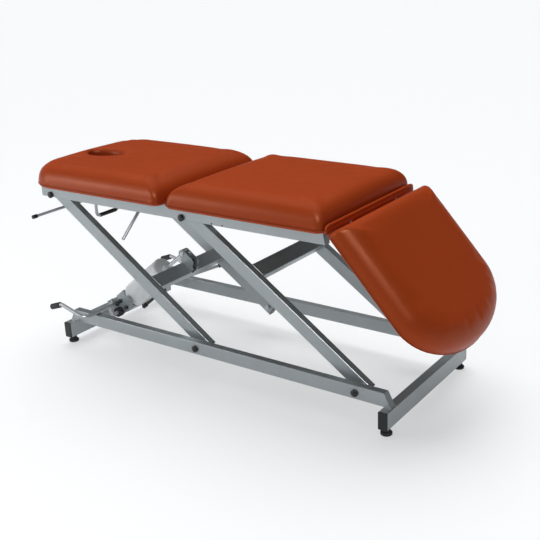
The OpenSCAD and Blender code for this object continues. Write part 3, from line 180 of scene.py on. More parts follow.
class Shop:
    """Makes the materials and the node groups that they share."""

    def __init__(self) -> None:
        self.made: Dict[str, bpy.types.Material] = {}
        self.wander = self._wander_group()
        self.relief = self._relief_group()
        self.hide = self._hide_group()

    @staticmethod
    def _group(name: str, inputs: Sequence[Tuple[str, str, float]],
               outputs: Sequence[Tuple[str, str]]) -> bpy.types.ShaderNodeTree:
        """Starts a node group.

        Args:
            name: group name.
            inputs: (name, socket type, default) of each input.
            outputs: (name, socket type) of each output.

        Returns:
            The new group, with its input and output nodes.
        """
        group = bpy.data.node_groups.new(name, "ShaderNodeTree")
        for label, kind, value in inputs:
            socket = group.interface.new_socket(name=label, in_out="INPUT", socket_type=kind)
            if kind == "NodeSocketFloat":
                socket.default_value = value
        for label, kind in outputs:
            group.interface.new_socket(name=label, in_out="OUTPUT", socket_type=kind)
        group.nodes.new("NodeGroupInput").name = "in"
        group.nodes.new("NodeGroupOutput").name = "out"
        return group

    def _wander_group(self) -> bpy.types.ShaderNodeTree:
        """Makes a slow noise between two limits, for tones and roughness.

        Returns:
            The group.
        """
        g = self._group("wander", [("Scale", "NodeSocketFloat", 10.0), ("Low", "NodeSocketFloat", 0.0),
                                   ("High", "NodeSocketFloat", 1.0)], [("Value", "NodeSocketFloat")])
        n, link = g.nodes, g.links.new
        place = n.new("ShaderNodeTexCoord")
        noise = preset(n.new("ShaderNodeTexNoise"), {"Detail": 4.0, "Roughness": 0.55})
        spread = preset(n.new("ShaderNodeMapRange"), {"From Min": 0.3, "From Max": 0.7})
        link(place.outputs["Object"], noise.inputs["Vector"])
        link(n["in"].outputs["Scale"], noise.inputs["Scale"])
        link(noise.outputs["Fac"], spread.inputs["Value"])
        link(n["in"].outputs["Low"], spread.inputs["To Min"])
        link(n["in"].outputs["High"], spread.inputs["To Max"])
        link(spread.outputs["Result"], n["out"].inputs["Value"])
        return g

    def _relief_group(self) -> bpy.types.ShaderNodeTree:
        """Makes the fine relief of coats and moulded pieces.

        Returns:
            The group.
        """
        g = self._group("relief", [("Scale", "NodeSocketFloat", 800.0), ("Strength", "NodeSocketFloat", 0.1),
                                   ("Normal", "NodeSocketVector", 0.0)], [("Normal", "NodeSocketVector")])
        n, link = g.nodes, g.links.new
        place = n.new("ShaderNodeTexCoord")
        noise = preset(n.new("ShaderNodeTexNoise"), {"Detail": 3.0})
        bump = preset(n.new("ShaderNodeBump"), {"Distance": 0.0004})
        link(place.outputs["Object"], noise.inputs["Vector"])
        link(n["in"].outputs["Scale"], noise.inputs["Scale"])
        link(n["in"].outputs["Strength"], bump.inputs["Strength"])
        link(noise.outputs["Fac"], bump.inputs["Height"])
        link(n["in"].outputs["Normal"], bump.inputs["Normal"])
        link(bump.outputs["Normal"], n["out"].inputs["Normal"])
        return g

    def _hide_group(self) -> bpy.types.ShaderNodeTree:
        """Makes leatherette: pebbled cells, pores between them and soft large waves.

        Returns:
            The group.
        """
        g = self._group("hide_grain",
                        [("Scale", "NodeSocketFloat", 600.0), ("Strength", "NodeSocketFloat", 0.2)],
                        [("Normal", "NodeSocketVector"), ("Cells", "NodeSocketFloat")])
        n, link = g.nodes, g.links.new
        place = n.new("ShaderNodeTexCoord")
        warp = preset(n.new("ShaderNodeTexNoise"), {"Scale": 260.0, "Detail": 2.0})
        mix = n.new("ShaderNodeMix")
        mix.data_type = "VECTOR"
        mix.inputs["Factor"].default_value = 0.004
        cells = n.new("ShaderNodeTexVoronoi")
        cells.feature = "DISTANCE_TO_EDGE"
        edge = preset(n.new("ShaderNodeMapRange"), {"From Min": 0.0, "From Max": 0.22})
        fine = preset(n.new("ShaderNodeBump"), {"Distance": 0.00035})
        wave = preset(n.new("ShaderNodeTexNoise"), {"Scale": 9.0, "Detail": 2.0})
        broad = preset(n.new("ShaderNodeBump"), {"Strength": 0.25, "Distance": 0.0018})
        link(place.outputs["Object"], warp.inputs["Vector"])
        link(place.outputs["Object"], mix.inputs[4])
        link(warp.outputs["Color"], mix.inputs[5])
        link(mix.outputs[1], cells.inputs["Vector"])
        link(n["in"].outputs["Scale"], cells.inputs["Scale"])
        link(cells.outputs["Distance"], edge.inputs["Value"])
        link(place.outputs["Object"], wave.inputs["Vector"])
        link(wave.outputs["Fac"], broad.inputs["Height"])
        link(n["in"].outputs["Strength"], fine.inputs["Strength"])
        link(edge.outputs["Result"], fine.inputs["Height"])
        link(broad.outputs["Normal"], fine.inputs["Normal"])
        link(fine.outputs["Normal"], n["out"].inputs["Normal"])
        link(edge.outputs["Result"], n["out"].inputs["Cells"])
        return g

    @staticmethod
    def _use(tree: bpy.types.ShaderNodeTree, group: bpy.types.ShaderNodeTree,
             values: Dict[str, float]) -> bpy.types.ShaderNode:
        """Puts a shared group into a material.

        Args:
            tree: nodes of the material.
            group: the shared group.
            values: what its inputs are set to.

        Returns:
            The group's node.
        """
        node = tree.nodes.new("ShaderNodeGroup")
        node.node_tree = group
        return preset(node, values)

    def _grained(self, tree: bpy.types.ShaderNodeTree, f: Finish, base: Sequence[float],
                 tone: bpy.types.NodeSocket) -> None:
        """Gives a material the hide's grain, with darker pores.

        Args:
            tree: nodes of the material.
            f: its finish.
            base: its base colour.
            tone: socket with its wandering colour.
        """
        link, shader = tree.links.new, tree.nodes["Principled BSDF"]
        grain = self._use(tree, self.hide, {"Scale": f.grain_scale, "Strength": f.grain})
        deep = tree.nodes.new("ShaderNodeMix")
        deep.data_type = "RGBA"
        deep.inputs[6].default_value = (*[c * PORE_TONE for c in base], 1)
        link(grain.outputs["Cells"], deep.inputs["Factor"])
        link(tone, deep.inputs[7])
        link(deep.outputs[2], shader.inputs["Base Color"])
        link(grain.outputs["Normal"], shader.inputs["Normal"])
        preset(shader, {"Specular IOR Level": HIDE_SPECULAR, "Specular Tint": HIDE_SPECULAR_TINT})

    def _plain(self, tree: bpy.types.ShaderNodeTree, f: Finish, tone: bpy.types.NodeSocket) -> None:
        """Gives a material the fine relief and softened edges of a hard piece.

        Args:
            tree: nodes of the material.
            f: its finish.
            tone: socket with its wandering colour.
        """
        link, shader = tree.links.new, tree.nodes["Principled BSDF"]
        relief = self._use(tree, self.relief, {"Scale": f.grain_scale, "Strength": f.grain})
        soft = tree.nodes.new("ShaderNodeBevel")
        soft.samples = 4
        soft.inputs["Radius"].default_value = f.edge
        link(soft.outputs["Normal"], relief.inputs["Normal"])
        link(tone, shader.inputs["Base Color"])
        link(relief.outputs["Normal"], shader.inputs["Normal"])

    def make(self, slot: Slot, tint: float = 1.0, name: Optional[str] = None) -> bpy.types.Material:
        """Makes a finish, or returns the one made before.

        Args:
            slot: slot whose finish is wanted.
            tint: factor on the base colour.
            name: other name, for a tinted version.

        Returns:
            The material.
        """
        f = FINISHES[slot]
        label = name or f.name
        if label in self.made:
            return self.made[label]
        mat = bpy.data.materials.new(label)
        mat.use_nodes = True
        tree = mat.node_tree
        shader = tree.nodes["Principled BSDF"]
        base = tuple(min(1.0, c * tint) for c in f.color)
        preset(shader, {"Metallic": f.metallic, "Coat Weight": f.coat, "Coat Roughness": COAT_ROUGH})
        tone = self._use(tree, self.wander, {"Scale": f.tone_scale, "Low": 0.0, "High": 1.0})
        blend = tree.nodes.new("ShaderNodeMix")
        blend.data_type = "RGBA"
        blend.inputs[6].default_value = (*[c * (1 - f.tone) for c in base], 1)
        blend.inputs[7].default_value = (*[min(1.0, c * (1 + f.tone)) for c in base], 1)
        tree.links.new(tone.outputs["Value"], blend.inputs["Factor"])
        rough = self._use(tree, self.wander, {"Scale": f.tone_scale * ROUGH_TO_TONE_SCALE,
                                              "Low": f.rough - f.rough_spread,
                                              "High": f.rough + f.rough_spread})
        tree.links.new(rough.outputs["Value"], shader.inputs["Roughness"])
        if f.leather:
            self._grained(tree, f, base, blend.outputs[2])
        else:
            self._plain(tree, f, blend.outputs[2])
        self.made[label] = mat
        return mat


# Mesh helpers


def mesh_object(name: str, points: Sequence[Point], faces: Sequence[Sequence[int]]) -> bpy.types.Object:
    """Makes an object from points and faces, with outward faces.

    Args:
        name: object name.
        points: points in metres.
        faces: index lists.

    Returns:
        The linked object, smooth shaded.
    """
    mesh = bpy.data.meshes.new(name)
    mesh.from_pydata([tuple(map(float, p)) for p in points], [], [tuple(f) for f in faces])
    bm = bmesh.new()
    bm.from_mesh(mesh)
    bmesh.ops.remove_doubles(bm, verts=bm.verts, dist=1e-6)
    bmesh.ops.recalc_face_normals(bm, faces=bm.faces)
    bm.to_mesh(mesh)
    bm.free()
    mesh.polygons.foreach_set("use_smooth", [True] * len(mesh.polygons))
    obj = bpy.data.objects.new(name, mesh)
    bpy.context.scene.collection.objects.link(obj)
    return obj


def ring_faces(count: int, rings: int, closed: bool) -> List[Tuple[int, int, int, int]]:
    """Joins rings of equally many points.

    Args:
        count: points in a ring.
        rings: number of rings.
        closed: whether the last ring joins the first.

    Returns:
        Four-sided faces.
    """
    faces = []
    for j in range(rings if closed else rings - 1):
        k = (j + 1) % rings
        for i in range(count):
            m = (i + 1) % count
            faces.append((j * count + i, j * count + m, k * count + m, k * count + i))
    return faces


def swept(name: str, points: Sequence[Point], count: int) -> bpy.types.Object:
    """Makes a solid from rings of equally many points, closed at both ends.

    Args:
        name: object name.
        points: points of the rings in turn, in metres.
        count: points in a ring.

    Returns:
        The solid.
    """
    total = len(points)
    faces: List[Sequence[int]] = list(ring_faces(count, total // count, False))
    faces += [list(range(count)), list(range(total - count, total))]
    return mesh_object(name, points, faces)


def tube(name: str, path: Sequence[Point], radius: float, closed: bool = False,
         sides: int = 10) -> bpy.types.Object:
    """Sweeps a round section along a path.

    Args:
        name: object name.
        path: points in metres.
        radius: radius in metres.
        closed: whether the path is a loop.
        sides: points round the section.

    Returns:
        The tube.
    """
    p = [Vector(q) for q in path]
    n = len(p)
    points: List[Point] = []
    up = Vector((0, 0, 1))
    for i in range(n):
        before = p[(i - 1) % n] if closed or i else p[i]
        after = p[(i + 1) % n] if closed or i < n - 1 else p[i]
        ahead = (after - before).normalized()
        side = ahead.cross(up)
        if side.length < 0.05:
            side = ahead.cross(Vector((0, 1, 0)))
        side.normalize()
        top = side.cross(ahead).normalized()
        for k in range(sides):
            a = 2 * math.pi * k / sides
            points.append(tuple(p[i] + radius * (math.cos(a) * side + math.sin(a) * top)))
    if closed:
        return mesh_object(name, points, ring_faces(sides, n, True))
    return swept(name, points, sides)


def dress(obj: bpy.types.Object, material: bpy.types.Material, body: str) -> bpy.types.Object:
    """Gives a new piece its finish and its body.

    Args:
        obj: the piece.
        material: its material.
        body: the body it moves with.

    Returns:
        The same piece.
    """
    obj.data.materials.clear()
    obj.data.materials.append(material)
    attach(obj, body)
    return obj


# Padding

# Steps round an outline: fewest and spacing in millimetres at a corner, and to each side of a tip.
CORNER_STEPS, CORNER_STEP, TIP_STEPS = 12, 3.5, 72
# Rings of the hem under a pad: how far each lies inside the outline and above the underside, in millimetres.
HEM = ((6, 0), (2, 1.6), (0.4, 5), (0, 9), (0, 13))
ROUND_STEPS = 12
HOLE_HEM = 4
# Shares of the way over the top: from the round to the hole's roll, and from the round to the middle.
TO_HOLE = (0.1, 0.2, 0.32, 0.45, 0.58, 0.7, 0.8, 0.88, 0.94)
TO_MIDDLE = (0.93, 0.83, 0.7, 0.55, 0.4, 0.25, 0.12, 0.04)
WELT_UP, WELT_IN, WELT_RADIUS = 11.0, 0.6, 1.5


@dataclass(frozen=True)
class PadShape:
    """Shape of one pad, in millimetres of its own frame.

    Args:
        x0, x1: ends along the table.
        half: half width.
        z0: underside.
        top: crown height.
        shoulders: heights where the top round starts: sides, x0 end, x1 end.
        rounds: depth of the top round at the sides, x0 end, x1 end.
        corners: plan radius of the corners at x0 and x1.
        sag: fall of the crown at the sides.
        tip: length of the half-oval end at x1, or 0 for a square end.
        flare: how much deeper the x0 round is at the sides than in the middle.
    """

    x0: float
    x1: float
    half: float
    z0: float
    top: float
    shoulders: Tuple[float, float, float]
    rounds: Tuple[float, float, float]
    corners: Tuple[float, float]
    sag: float = 4.0
    tip: float = 0.0
    flare: float = 0.0

    def outline(self, step: float = 9.0) -> np.ndarray:
        """Gives the plan outline.

        Args:
            step: distance between points on the straight stretches.

        Returns:
            Rows of x, y and the share of the x axis in the outward normal.
        """
        rows: List[Point] = []

        def arc(cx: float, cy: float, r: float, a0: float) -> None:
            steps = max(CORNER_STEPS, int(r * math.pi / 2 / CORNER_STEP))
            for k in range(steps + 1):
                a = math.radians(a0 + 90 * k / steps)
                rows.append((cx + r * math.cos(a), cy + r * math.sin(a), math.cos(a)))

        r0, r1 = self.corners
        if self.tip:
            for k in range(-TIP_STEPS, TIP_STEPS + 1):
                a = math.pi / 2 * k / TIP_STEPS
                x = self.x1 - self.tip + self.tip * math.cos(a)
                rows.append((x, self.half * math.sin(a), math.cos(a)))
        else:
            arc(self.x1 - r1, self.half - r1, r1, 0)
        arc(self.x0 + r0, self.half - r0, r0, 90)
        arc(self.x0 + r0, r0 - self.half, r0, 180)
        if not self.tip:
            arc(self.x1 - r1, r1 - self.half, r1, 270)
        dense: List[Point] = []
        for a, b in zip(rows, rows[1:] + rows[:1]):
            gap = math.hypot(b[0] - a[0], b[1] - a[1])
            parts = max(1, round(gap / step))
            for k in range(parts):
                t = k / parts
                dense.append(tuple(a[i] + (b[i] - a[i]) * t for i in range(3)))
        return np.array(dense)

    def pulled(self, line: np.ndarray, side: float, low: float, high: float) -> np.ndarray:
        """Draws the outline in towards the pad's middle.

        Args:
            line: outline rows.
            side: how far the sides come in.
            low: how far the x0 end comes in.
            high: how far the x1 end comes in.

        Returns:
            Rows of x, y.
        """
        mid = (self.x0 + self.x1) / 2
        reach = self.x1 - mid
        low = low * (1 + self.flare * (line[:, 1] / self.half) ** 2)
        ends = np.where(line[:, 0] > mid, high, low)
        x = mid + (line[:, 0] - mid) * (1 - ends / reach)
        return np.stack([x, line[:, 1] * (1 - side / self.half)], axis=1)

    def crown(self, q: np.ndarray) -> np.ndarray:
        """Gives the height of the top over plan points.

        Args:
            q: rows of x, y.

        Returns:
            Heights.
        """
        return self.top - self.sag * (q[:, 1] / self.half) ** 2

    def side_rings(self, line: np.ndarray) -> List[np.ndarray]:
        """Gives the rings from the underside over the side and its round to the top.

        Args:
            line: outline rows.

        Returns:
            Rings of x, y, z.
        """
        rings = []
        for inset, up in HEM:
            q = self.pulled(line, inset, inset, inset)
            rings.append(np.column_stack([q, np.full(len(q), self.z0 + up)]))
        share = line[:, 2] ** 2
        shoulder = self.shoulders[0] + np.where(line[:, 2] > 0, self.shoulders[2] - self.shoulders[0],
                                                self.shoulders[1] - self.shoulders[0]) * share
        for k in range(ROUND_STEPS + 1):
            t = math.pi / 2 * k / ROUND_STEPS
            s = 1 - math.cos(t)
            q = self.pulled(line, s * self.rounds[0], s * self.rounds[1], s * self.rounds[2])
            rings.append(np.column_stack([q, shoulder + (self.crown(q) - shoulder) * math.sin(t)]))
        return rings


@dataclass(frozen=True)
class Hole:
    """Oval face hole with a softly rolled edge, in millimetres.

    Args:
        x: its middle along the table.
        length, width: its clear size.
        roll: how far out the roll of its edge starts.
        depth: how far down the roll ends.
        head_share: how much of the roll is left towards the head end.
    """

    x: float
    length: float
    width: float
    roll: float
    depth: float
    head_share: float = 0.45

    def ring(self, line: np.ndarray, grow: float) -> np.ndarray:
        """Gives the oval point that lies towards each outline point.

        Args:
            line: outline rows.
            grow: how far outside the oval.

        Returns:
            Rows of x, y.
        """
        a = np.arctan2(line[:, 1] / (self.width / 2), (line[:, 0] - self.x) / (self.length / 2))
        ahead = grow * ((1 + self.head_share) / 2 + (1 - self.head_share) / 2 * np.cos(a))
        return np.column_stack([self.x + (self.length / 2 + ahead) * np.cos(a),
                                (self.width / 2 + grow) * np.sin(a)])


@dataclass(frozen=True)
class Swell:
    """Short cloth run that fills a pad under its cover.

    Args:
        voxel: size of the even mesh it runs on, in metres.
        pressure: pressure inside the cover.
        cap: how far a point may move, in metres.
        frames: length of the run.
        held: height above the underside below which the cover is nailed down, in metres.
        quality: steps of the run in each frame.
        mass: mass of a point of the cover.
        stretch: its stiffness against stretch.
        bend: its stiffness against bending.
    """

    voxel: float = 0.008
    pressure: float = 4.0
    cap: float = 0.004
    frames: int = 20
    held: float = 0.012
    quality: int = 4
    mass: float = 0.3
    stretch: float = 12.0
    bend: float = 2.0

    def run(self, obj: bpy.types.Object) -> None:
        """Fills a pad in its own frame, underside down.

        Args:
            obj: the pad, before it is put in its place.
        """
        even = obj.modifiers.new("even", "REMESH")
        even.mode = "VOXEL"
        even.voxel_size = self.voxel
        apply_modifiers(obj)
        mesh = obj.data
        count = len(mesh.vertices)
        start = np.empty(count * 3)
        mesh.vertices.foreach_get("co", start)
        start = start.reshape(-1, 3)
        low = start[:, 2].min()
        held = obj.vertex_groups.new(name="held")
        held.add([int(i) for i in np.nonzero(start[:, 2] < low + self.held)[0]], 1.0, "REPLACE")
        cloth = obj.modifiers.new("cover", "CLOTH")
        cover = cloth.settings
        cover.quality = self.quality
        cover.mass = self.mass
        cover.tension_stiffness = self.stretch
        cover.compression_stiffness = self.stretch
        cover.bending_stiffness = self.bend
        cover.use_pressure = True
        cover.uniform_pressure_force = self.pressure
        cover.vertex_group_mass = held.name
        cover.effector_weights.gravity = 0.0
        cloth.point_cache.frame_end = self.frames
        scene = bpy.context.scene
        for number in range(1, self.frames + 1):
            scene.frame_set(number)
        view = bpy.context.evaluated_depsgraph_get()
        swollen = obj.evaluated_get(view)
        end = np.empty(count * 3)
        swollen.data.vertices.foreach_get("co", end)
        move = end.reshape(-1, 3) - start
        far = np.linalg.norm(move, axis=1, keepdims=True)
        move *= self.cap * np.tanh(far / self.cap) / np.maximum(far, 1e-9)
        obj.modifiers.remove(cloth)
        mesh.vertices.foreach_set("co", (start + move).ravel())
        mesh.update()
        scene.frame_set(1)
        obj.vertex_groups.clear()
        finer = obj.modifiers.new("finer", "SUBSURF")
        finer.levels = 1
        finer.render_levels = 1
        apply_modifiers(obj)


# Pleats round a tight corner: largest corner that has them, height of their stretch, share of it at which
# they are deepest and over which they fade, depth, waves to a radian (all lengths in millimetres), and
# the metres from the corner's middle below which nothing moves and past the corner that they reach.
PLEAT_LARGEST, PLEAT_TALL, PLEAT_MIDDLE, PLEAT_FADE, PLEAT_DEPTH, PLEAT_WAVES = 80, 30.0, 0.25, 0.8, 1.5, 26
PLEAT_CLEAR, PLEAT_SLACK = 0.02, 0.004


@dataclass(frozen=True)
class Pad:
    """One padded section: its cover, its face hole and its welt.

    Args:
        name: its name.
        body: body it rides on.
        node: CAD node it stands for.
        shape: its shape.
        swell: cloth run that fills it.
        hole: its face hole, if it has one.
        place: its place, if its shape has a frame of its own.
    """

    name: str
    body: str
    node: str
    shape: PadShape
    swell: Swell
    hole: Optional[Hole] = None
    place: Matrix = Matrix.Identity(4).freeze()

    def _top_rings(self, line: np.ndarray) -> List[np.ndarray]:
        """Gives the rings over the top: to the middle, or down through the hole.

        Args:
            line: outline rows.

        Returns:
            Rings of x, y, z.
        """
        shape, h = self.shape, self.hole
        inner = shape.pulled(line, *shape.rounds)
        rings = []
        if not h:
            mid = (shape.x0 + shape.x1) / 2
            for u in TO_MIDDLE:
                q = np.column_stack([mid + (inner[:, 0] - mid) * u, inner[:, 1] * u])
                rings.append(np.column_stack([q, shape.crown(q)]))
            return rings
        target = h.ring(line, h.roll)
        for u in TO_HOLE:
            q = inner + (target - inner) * u
            rings.append(np.column_stack([q, shape.crown(q)]))
        for k in range(ROUND_STEPS + 1):
            t = math.pi / 2 * k / ROUND_STEPS
            q = h.ring(line, h.roll * (1 - math.sin(t)))
            rings.append(np.column_stack([q, shape.crown(q) - h.depth * (1 - math.cos(t))]))
        for z in ((shape.top + shape.z0) / 2, shape.z0 + HOLE_HEM, shape.z0):
            q = h.ring(line, 0 if z > shape.z0 else HOLE_HEM / 2)
            rings.append(np.column_stack([q, np.full(len(q), z)]))
        return rings

    def build(self, shop: Shop) -> bpy.types.Object:
        """Makes the pad and what is sewn to it.

        Args:
            shop: makes the materials.

        Returns:
            The pad's body.
        """
        shape = self.shape
        line = shape.outline()
        rings = shape.side_rings(line) + self._top_rings(line)
        count = len(line)
        points = np.vstack(rings) * MM
        faces: List[Sequence[int]] = list(ring_faces(count, len(rings), bool(self.hole)))
        if not self.hole:
            low, high = len(points), len(points) + 1
            mid = (shape.x0 + shape.x1) / 2 * MM
            points = np.vstack([points, [[mid, 0, shape.z0 * MM], [mid, 0, shape.top * MM]]])
            last = (len(rings) - 1) * count
            faces += [((i + 1) % count, i, low) for i in range(count)]
            faces += [(last + i, last + (i + 1) % count, high) for i in range(count)]
        pad = mesh_object(self.name, points, faces)
        self.swell.run(pad)
        self._gather(pad)
        pad.data.transform(self.place)
        hide = shop.make(Slot.HIDE)
        dress(pad, hide, self.body)
        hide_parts(self.node)
        self._sew(shop, line)
        return pad

    def _gather(self, pad: bpy.types.Object) -> None:
        """Gathers the cover in small pleats round the lower edge of the tight corners.

        Args:
            pad: the pad, before it is put in its place.
        """
        shape = self.shape
        mesh = pad.data
        at = np.empty(len(mesh.vertices) * 3)
        mesh.vertices.foreach_get("co", at)
        at = at.reshape(-1, 3)
        spots = [(shape.x0, shape.corners[0])]
        if not shape.tip:
            spots.append((shape.x1, shape.corners[1]))
        for x, r in spots:
            if r > PLEAT_LARGEST:
                continue
            inner = x + math.copysign(r, (shape.x0 + shape.x1) / 2 - x)
            for side in (-1, 1):
                cx, cy = inner * MM, side * (shape.half - r) * MM
                dx, dy = at[:, 0] - cx, at[:, 1] - cy
                outward = (dx * (x - inner) > -PLEAT_SLACK) & (dy * side > -PLEAT_SLACK)
                angle = np.arctan2(np.abs(dy), np.abs(dx))
                height = (at[:, 2] / MM - shape.z0) / PLEAT_TALL
                fade = np.clip(1 - np.abs(height - PLEAT_MIDDLE) / PLEAT_FADE, 0, 1) ** 1.5
                fade *= np.sin(np.clip(angle, 0, math.pi / 2) * 2) ** 0.6 * outward
                far = np.hypot(dx, dy)
                pleat = (0.5 + 0.5 * np.sin(angle * PLEAT_WAVES + 0.7 * np.sin(height * 3))) ** 2
                pull = -PLEAT_DEPTH * MM * fade * pleat
                at[:, 0] += np.where(far > PLEAT_CLEAR, dx / np.maximum(far, 1e-6) * pull, 0)
                at[:, 1] += np.where(far > PLEAT_CLEAR, dy / np.maximum(far, 1e-6) * pull, 0)
        mesh.vertices.foreach_set("co", at.ravel())
        mesh.update()

    def _sew(self, shop: Shop, line: np.ndarray) -> None:
        """Adds the welt round the lower edge.

        Args:
            shop: makes the materials.
            line: outline rows.
        """
        shape = self.shape
        dark = shop.make(Slot.HIDE, WELT_TINT, "terracotta_welt")
        q = shape.pulled(line, WELT_IN, WELT_IN, WELT_IN)
        path = [tuple(self.place @ Vector((x * MM, y * MM, (shape.z0 + WELT_UP) * MM))) for x, y in q]
        welt = tube(self.name + "_welt", path, WELT_RADIUS * MM, closed=True, sides=8)
        dress(welt, dark, self.body)


# Section of the hinge strip, as shares of its half width and of its height: a ridge over a welt.
STRIP_SECTION = ((-0.7, 0), (-1, 0.1), (-1, 0.5), (-1, 0.85), (-0.75, 0.97), (-0.2, 1),
                 (0.3, 0.97), (0.65, 0.88), (0.72, 0.78), (0.5, 0.68), (0.85, 0.62), (1, 0.5), (1, 0.3),
                 (0.95, 0.1), (0.7, 0))
# Its ends are drawn in over STRIP_END millimetres, down to these shares of the width and the height.
STRIP_END, STRIP_END_WIDTH, STRIP_END_HEIGHT = 26.0, 0.38, 0.45
# Gathers at its ends: steps there and elsewhere, their stretch, their share of the width, and waves.
STRIP_FINE, STRIP_COARSE, STRIP_GATHERED, STRIP_GATHER, STRIP_WAVE = 1.5, 8.0, 30, 0.06, 0.9


@dataclass(frozen=True)
class Strip:
    """Padded strip over a hinge, with drawn-in ends, in millimetres.

    Args:
        name: its name.
        x: its middle along the table.
        half: half its length across the table.
        z0: its underside.
        width, height: its section.
    """

    name: str
    x: float
    half: float
    z0: float
    width: float
    height: float

    def build(self, shop: Shop, body: str, nodes: Sequence[str]) -> bpy.types.Object:
        """Makes the strip.

        Args:
            shop: makes the materials.
            body: body it rides on.
            nodes: CAD nodes it stands for.

        Returns:
            The strip.
        """
        stations = []
        y = -self.half
        while y < self.half - 1e-6:
            stations.append(y)
            near_end = min(y + self.half, self.half - y)
            y += STRIP_FINE if near_end < STRIP_GATHERED else STRIP_COARSE
        stations.append(self.half)
        points: List[Point] = []
        for y in stations:
            end = min(self.half - abs(y), STRIP_END) / STRIP_END
            full = math.sqrt(max(0.0, 1 - (1 - end) ** 2)) * (1 - STRIP_END_WIDTH) + STRIP_END_WIDTH
            gather = 1 + STRIP_GATHER * math.sin(y * STRIP_WAVE) * (1 - end)
            for across, up in STRIP_SECTION:
                px = self.width / 2 * full * across * gather
                pz = self.height * up * (STRIP_END_HEIGHT + (1 - STRIP_END_HEIGHT) * full)
                points.append(((self.x + px) * MM, y * MM, (self.z0 + pz) * MM))
        strip = swept(self.name, points, len(STRIP_SECTION))
        dress(strip, shop.make(Slot.HIDE), body)
        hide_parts(*nodes)
        return strip


# Small pieces


@dataclass(frozen=True)
class Tilted:
    """Frame in the XZ plane whose first axis is tilted, in millimetres.

    Args:
        origin: its origin in metres.
        degrees: angle of the first axis above the level.
        back: whether the first axis runs towards the head end.
    """

    origin: Vector
    degrees: float
    back: bool

    def at(self, along: float, y: float, above: float) -> Vector:
        """Gives a point of the shared frame.

        Args:
            along: distance along the first axis.
            y: distance from the middle plane.
            above: distance square to the first axis.

        Returns:
            The point in metres.
        """
        a = math.radians(self.degrees)
        c, s = math.cos(a), math.sin(a)
        sign = -1 if self.back else 1
        return self.origin + Vector((sign * (along * c - above * s), y, along * s + above * c)) * MM


def ribbon(name: str, lines: Sequence[Sequence[Vector]], bevel: float) -> bpy.types.Object:
    """Makes a solid strip with softened edges from the outline at each of its ends.

    Args:
        name: object name.
        lines: outline of the strip's section at each end.
        bevel: width of its softened edges in metres.

    Returns:
        The strip.
    """
    obj = swept(name, [tuple(p) for line in lines for p in line], len(lines[0]))
    mod = obj.modifiers.new("edges", "BEVEL")
    mod.width = bevel
    mod.segments = 2
    mod.limit_method = "ANGLE"
    mod.angle_limit = math.radians(40)
    mod.harden_normals = False
    apply_modifiers(obj)
    return obj


def apply_modifiers(obj: bpy.types.Object) -> None:
    """Replaces a piece's mesh by its modified one.

    Args:
        obj: the piece.
    """
    view = bpy.context.evaluated_depsgraph_get()
    view.update()
    mesh = bpy.data.meshes.new_from_object(obj.evaluated_get(view))
    obj.modifiers.clear()
    old = obj.data
    obj.data = mesh
    bpy.data.meshes.remove(old)
    obj.data.polygons.foreach_set("use_smooth", [True] * len(obj.data.polygons))


def turned(name: str, start: Vector, axis: Vector, profile: Sequence[Tuple[float, float]],
           sides: int = 32) -> bpy.types.Object:
    """Makes a piece that is round about an axis.

    Args:
        name: object name.
        start: where the axis starts, in metres.
        axis: its direction.
        profile: distances along the axis and radii, in millimetres, from end to end.
        sides: points round it.

    Returns:
        The piece.
    """
    ahead = axis.normalized()
    u = ahead.orthogonal().normalized()
    v = ahead.cross(u)
    points: List[Point] = []
    for along, r in profile:
        for k in range(sides):
            a = 2 * math.pi * k / sides
            out = (u * math.cos(a) + v * math.sin(a)) * max(r, 1e-3) * MM
            points.append(tuple(start + ahead * along * MM + out))
    return swept(name, points, sides)


# Ripples of a weld bead: its rings, waves and fading ends in metres, and shares of its radius.
WELD_STEP, WELD_WAVE, WELD_FALL = 0.0016, 0.0032, 0.004
WELD_SWELL, WELD_END_SHARE = 0.13, 0.35


def weld(name: str, start: Vector, end: Vector, radius: float = 0.0022) -> bpy.types.Object:
    """Makes a weld bead with its ripples.

    Args:
        name: object name.
        start: its start in metres.
        end: its end in metres.
        radius: its radius in metres.

    Returns:
        The bead.
    """
    length = (end - start).length
    steps = max(6, int(length / WELD_STEP))
    path = [start + (end - start) * k / steps for k in range(steps + 1)]
    bead = tube(name, path, radius, sides=8)
    ahead = (end - start).normalized()
    for vert in bead.data.vertices:
        along = (vert.co - start).dot(ahead)
        spine = start + ahead * along
        swell = 1 + WELD_SWELL * math.sin(along / WELD_WAVE * math.pi * 2)
        end_fall = min(1.0, WELD_END_SHARE + min(along, length - along) / WELD_FALL)
        vert.co = spine + (vert.co - spine) * swell * end_fall
    return bead


# Slope of the arms at rest, in degrees, and metres from the head-side to the foot-side pivots.
ARM_ANGLE, FOOT_SIDE_SHIFT = 34.84, 0.685
# Rubber edge of the ear: its inner and outer lines (along the arm, above it) and its sides, in millimetres.
EAR_INNER = ((309, 74.3), (300, 72), (294.5, 66.5), (291.6, 59), (290.6, 49.6), (281.6, 47), (281.4, 36),
             (281.4, 27))
EAR_OUTER = ((309, 78), (298.5, 75.6), (291.6, 69), (288, 60), (287, 53), (278, 50), (277.6, 36), (277.6, 27))
EAR_SIDES, EAR_BEVEL = (-17.5, -8.5), 1.0
# Caps on the cheeks of the pump: bolt places (along the ram, above it), face, and profile.
CHEEK_BOLTS, CHEEK_FACE = ((20.1, 8.1), (45.9, 8.1), (57.9, -30)), 66.2
CAP_PROFILE = ((0, 9.3), (4.5, 9.3), (7.5, 8.2), (9.2, 5.4), (9.8, 0.5))
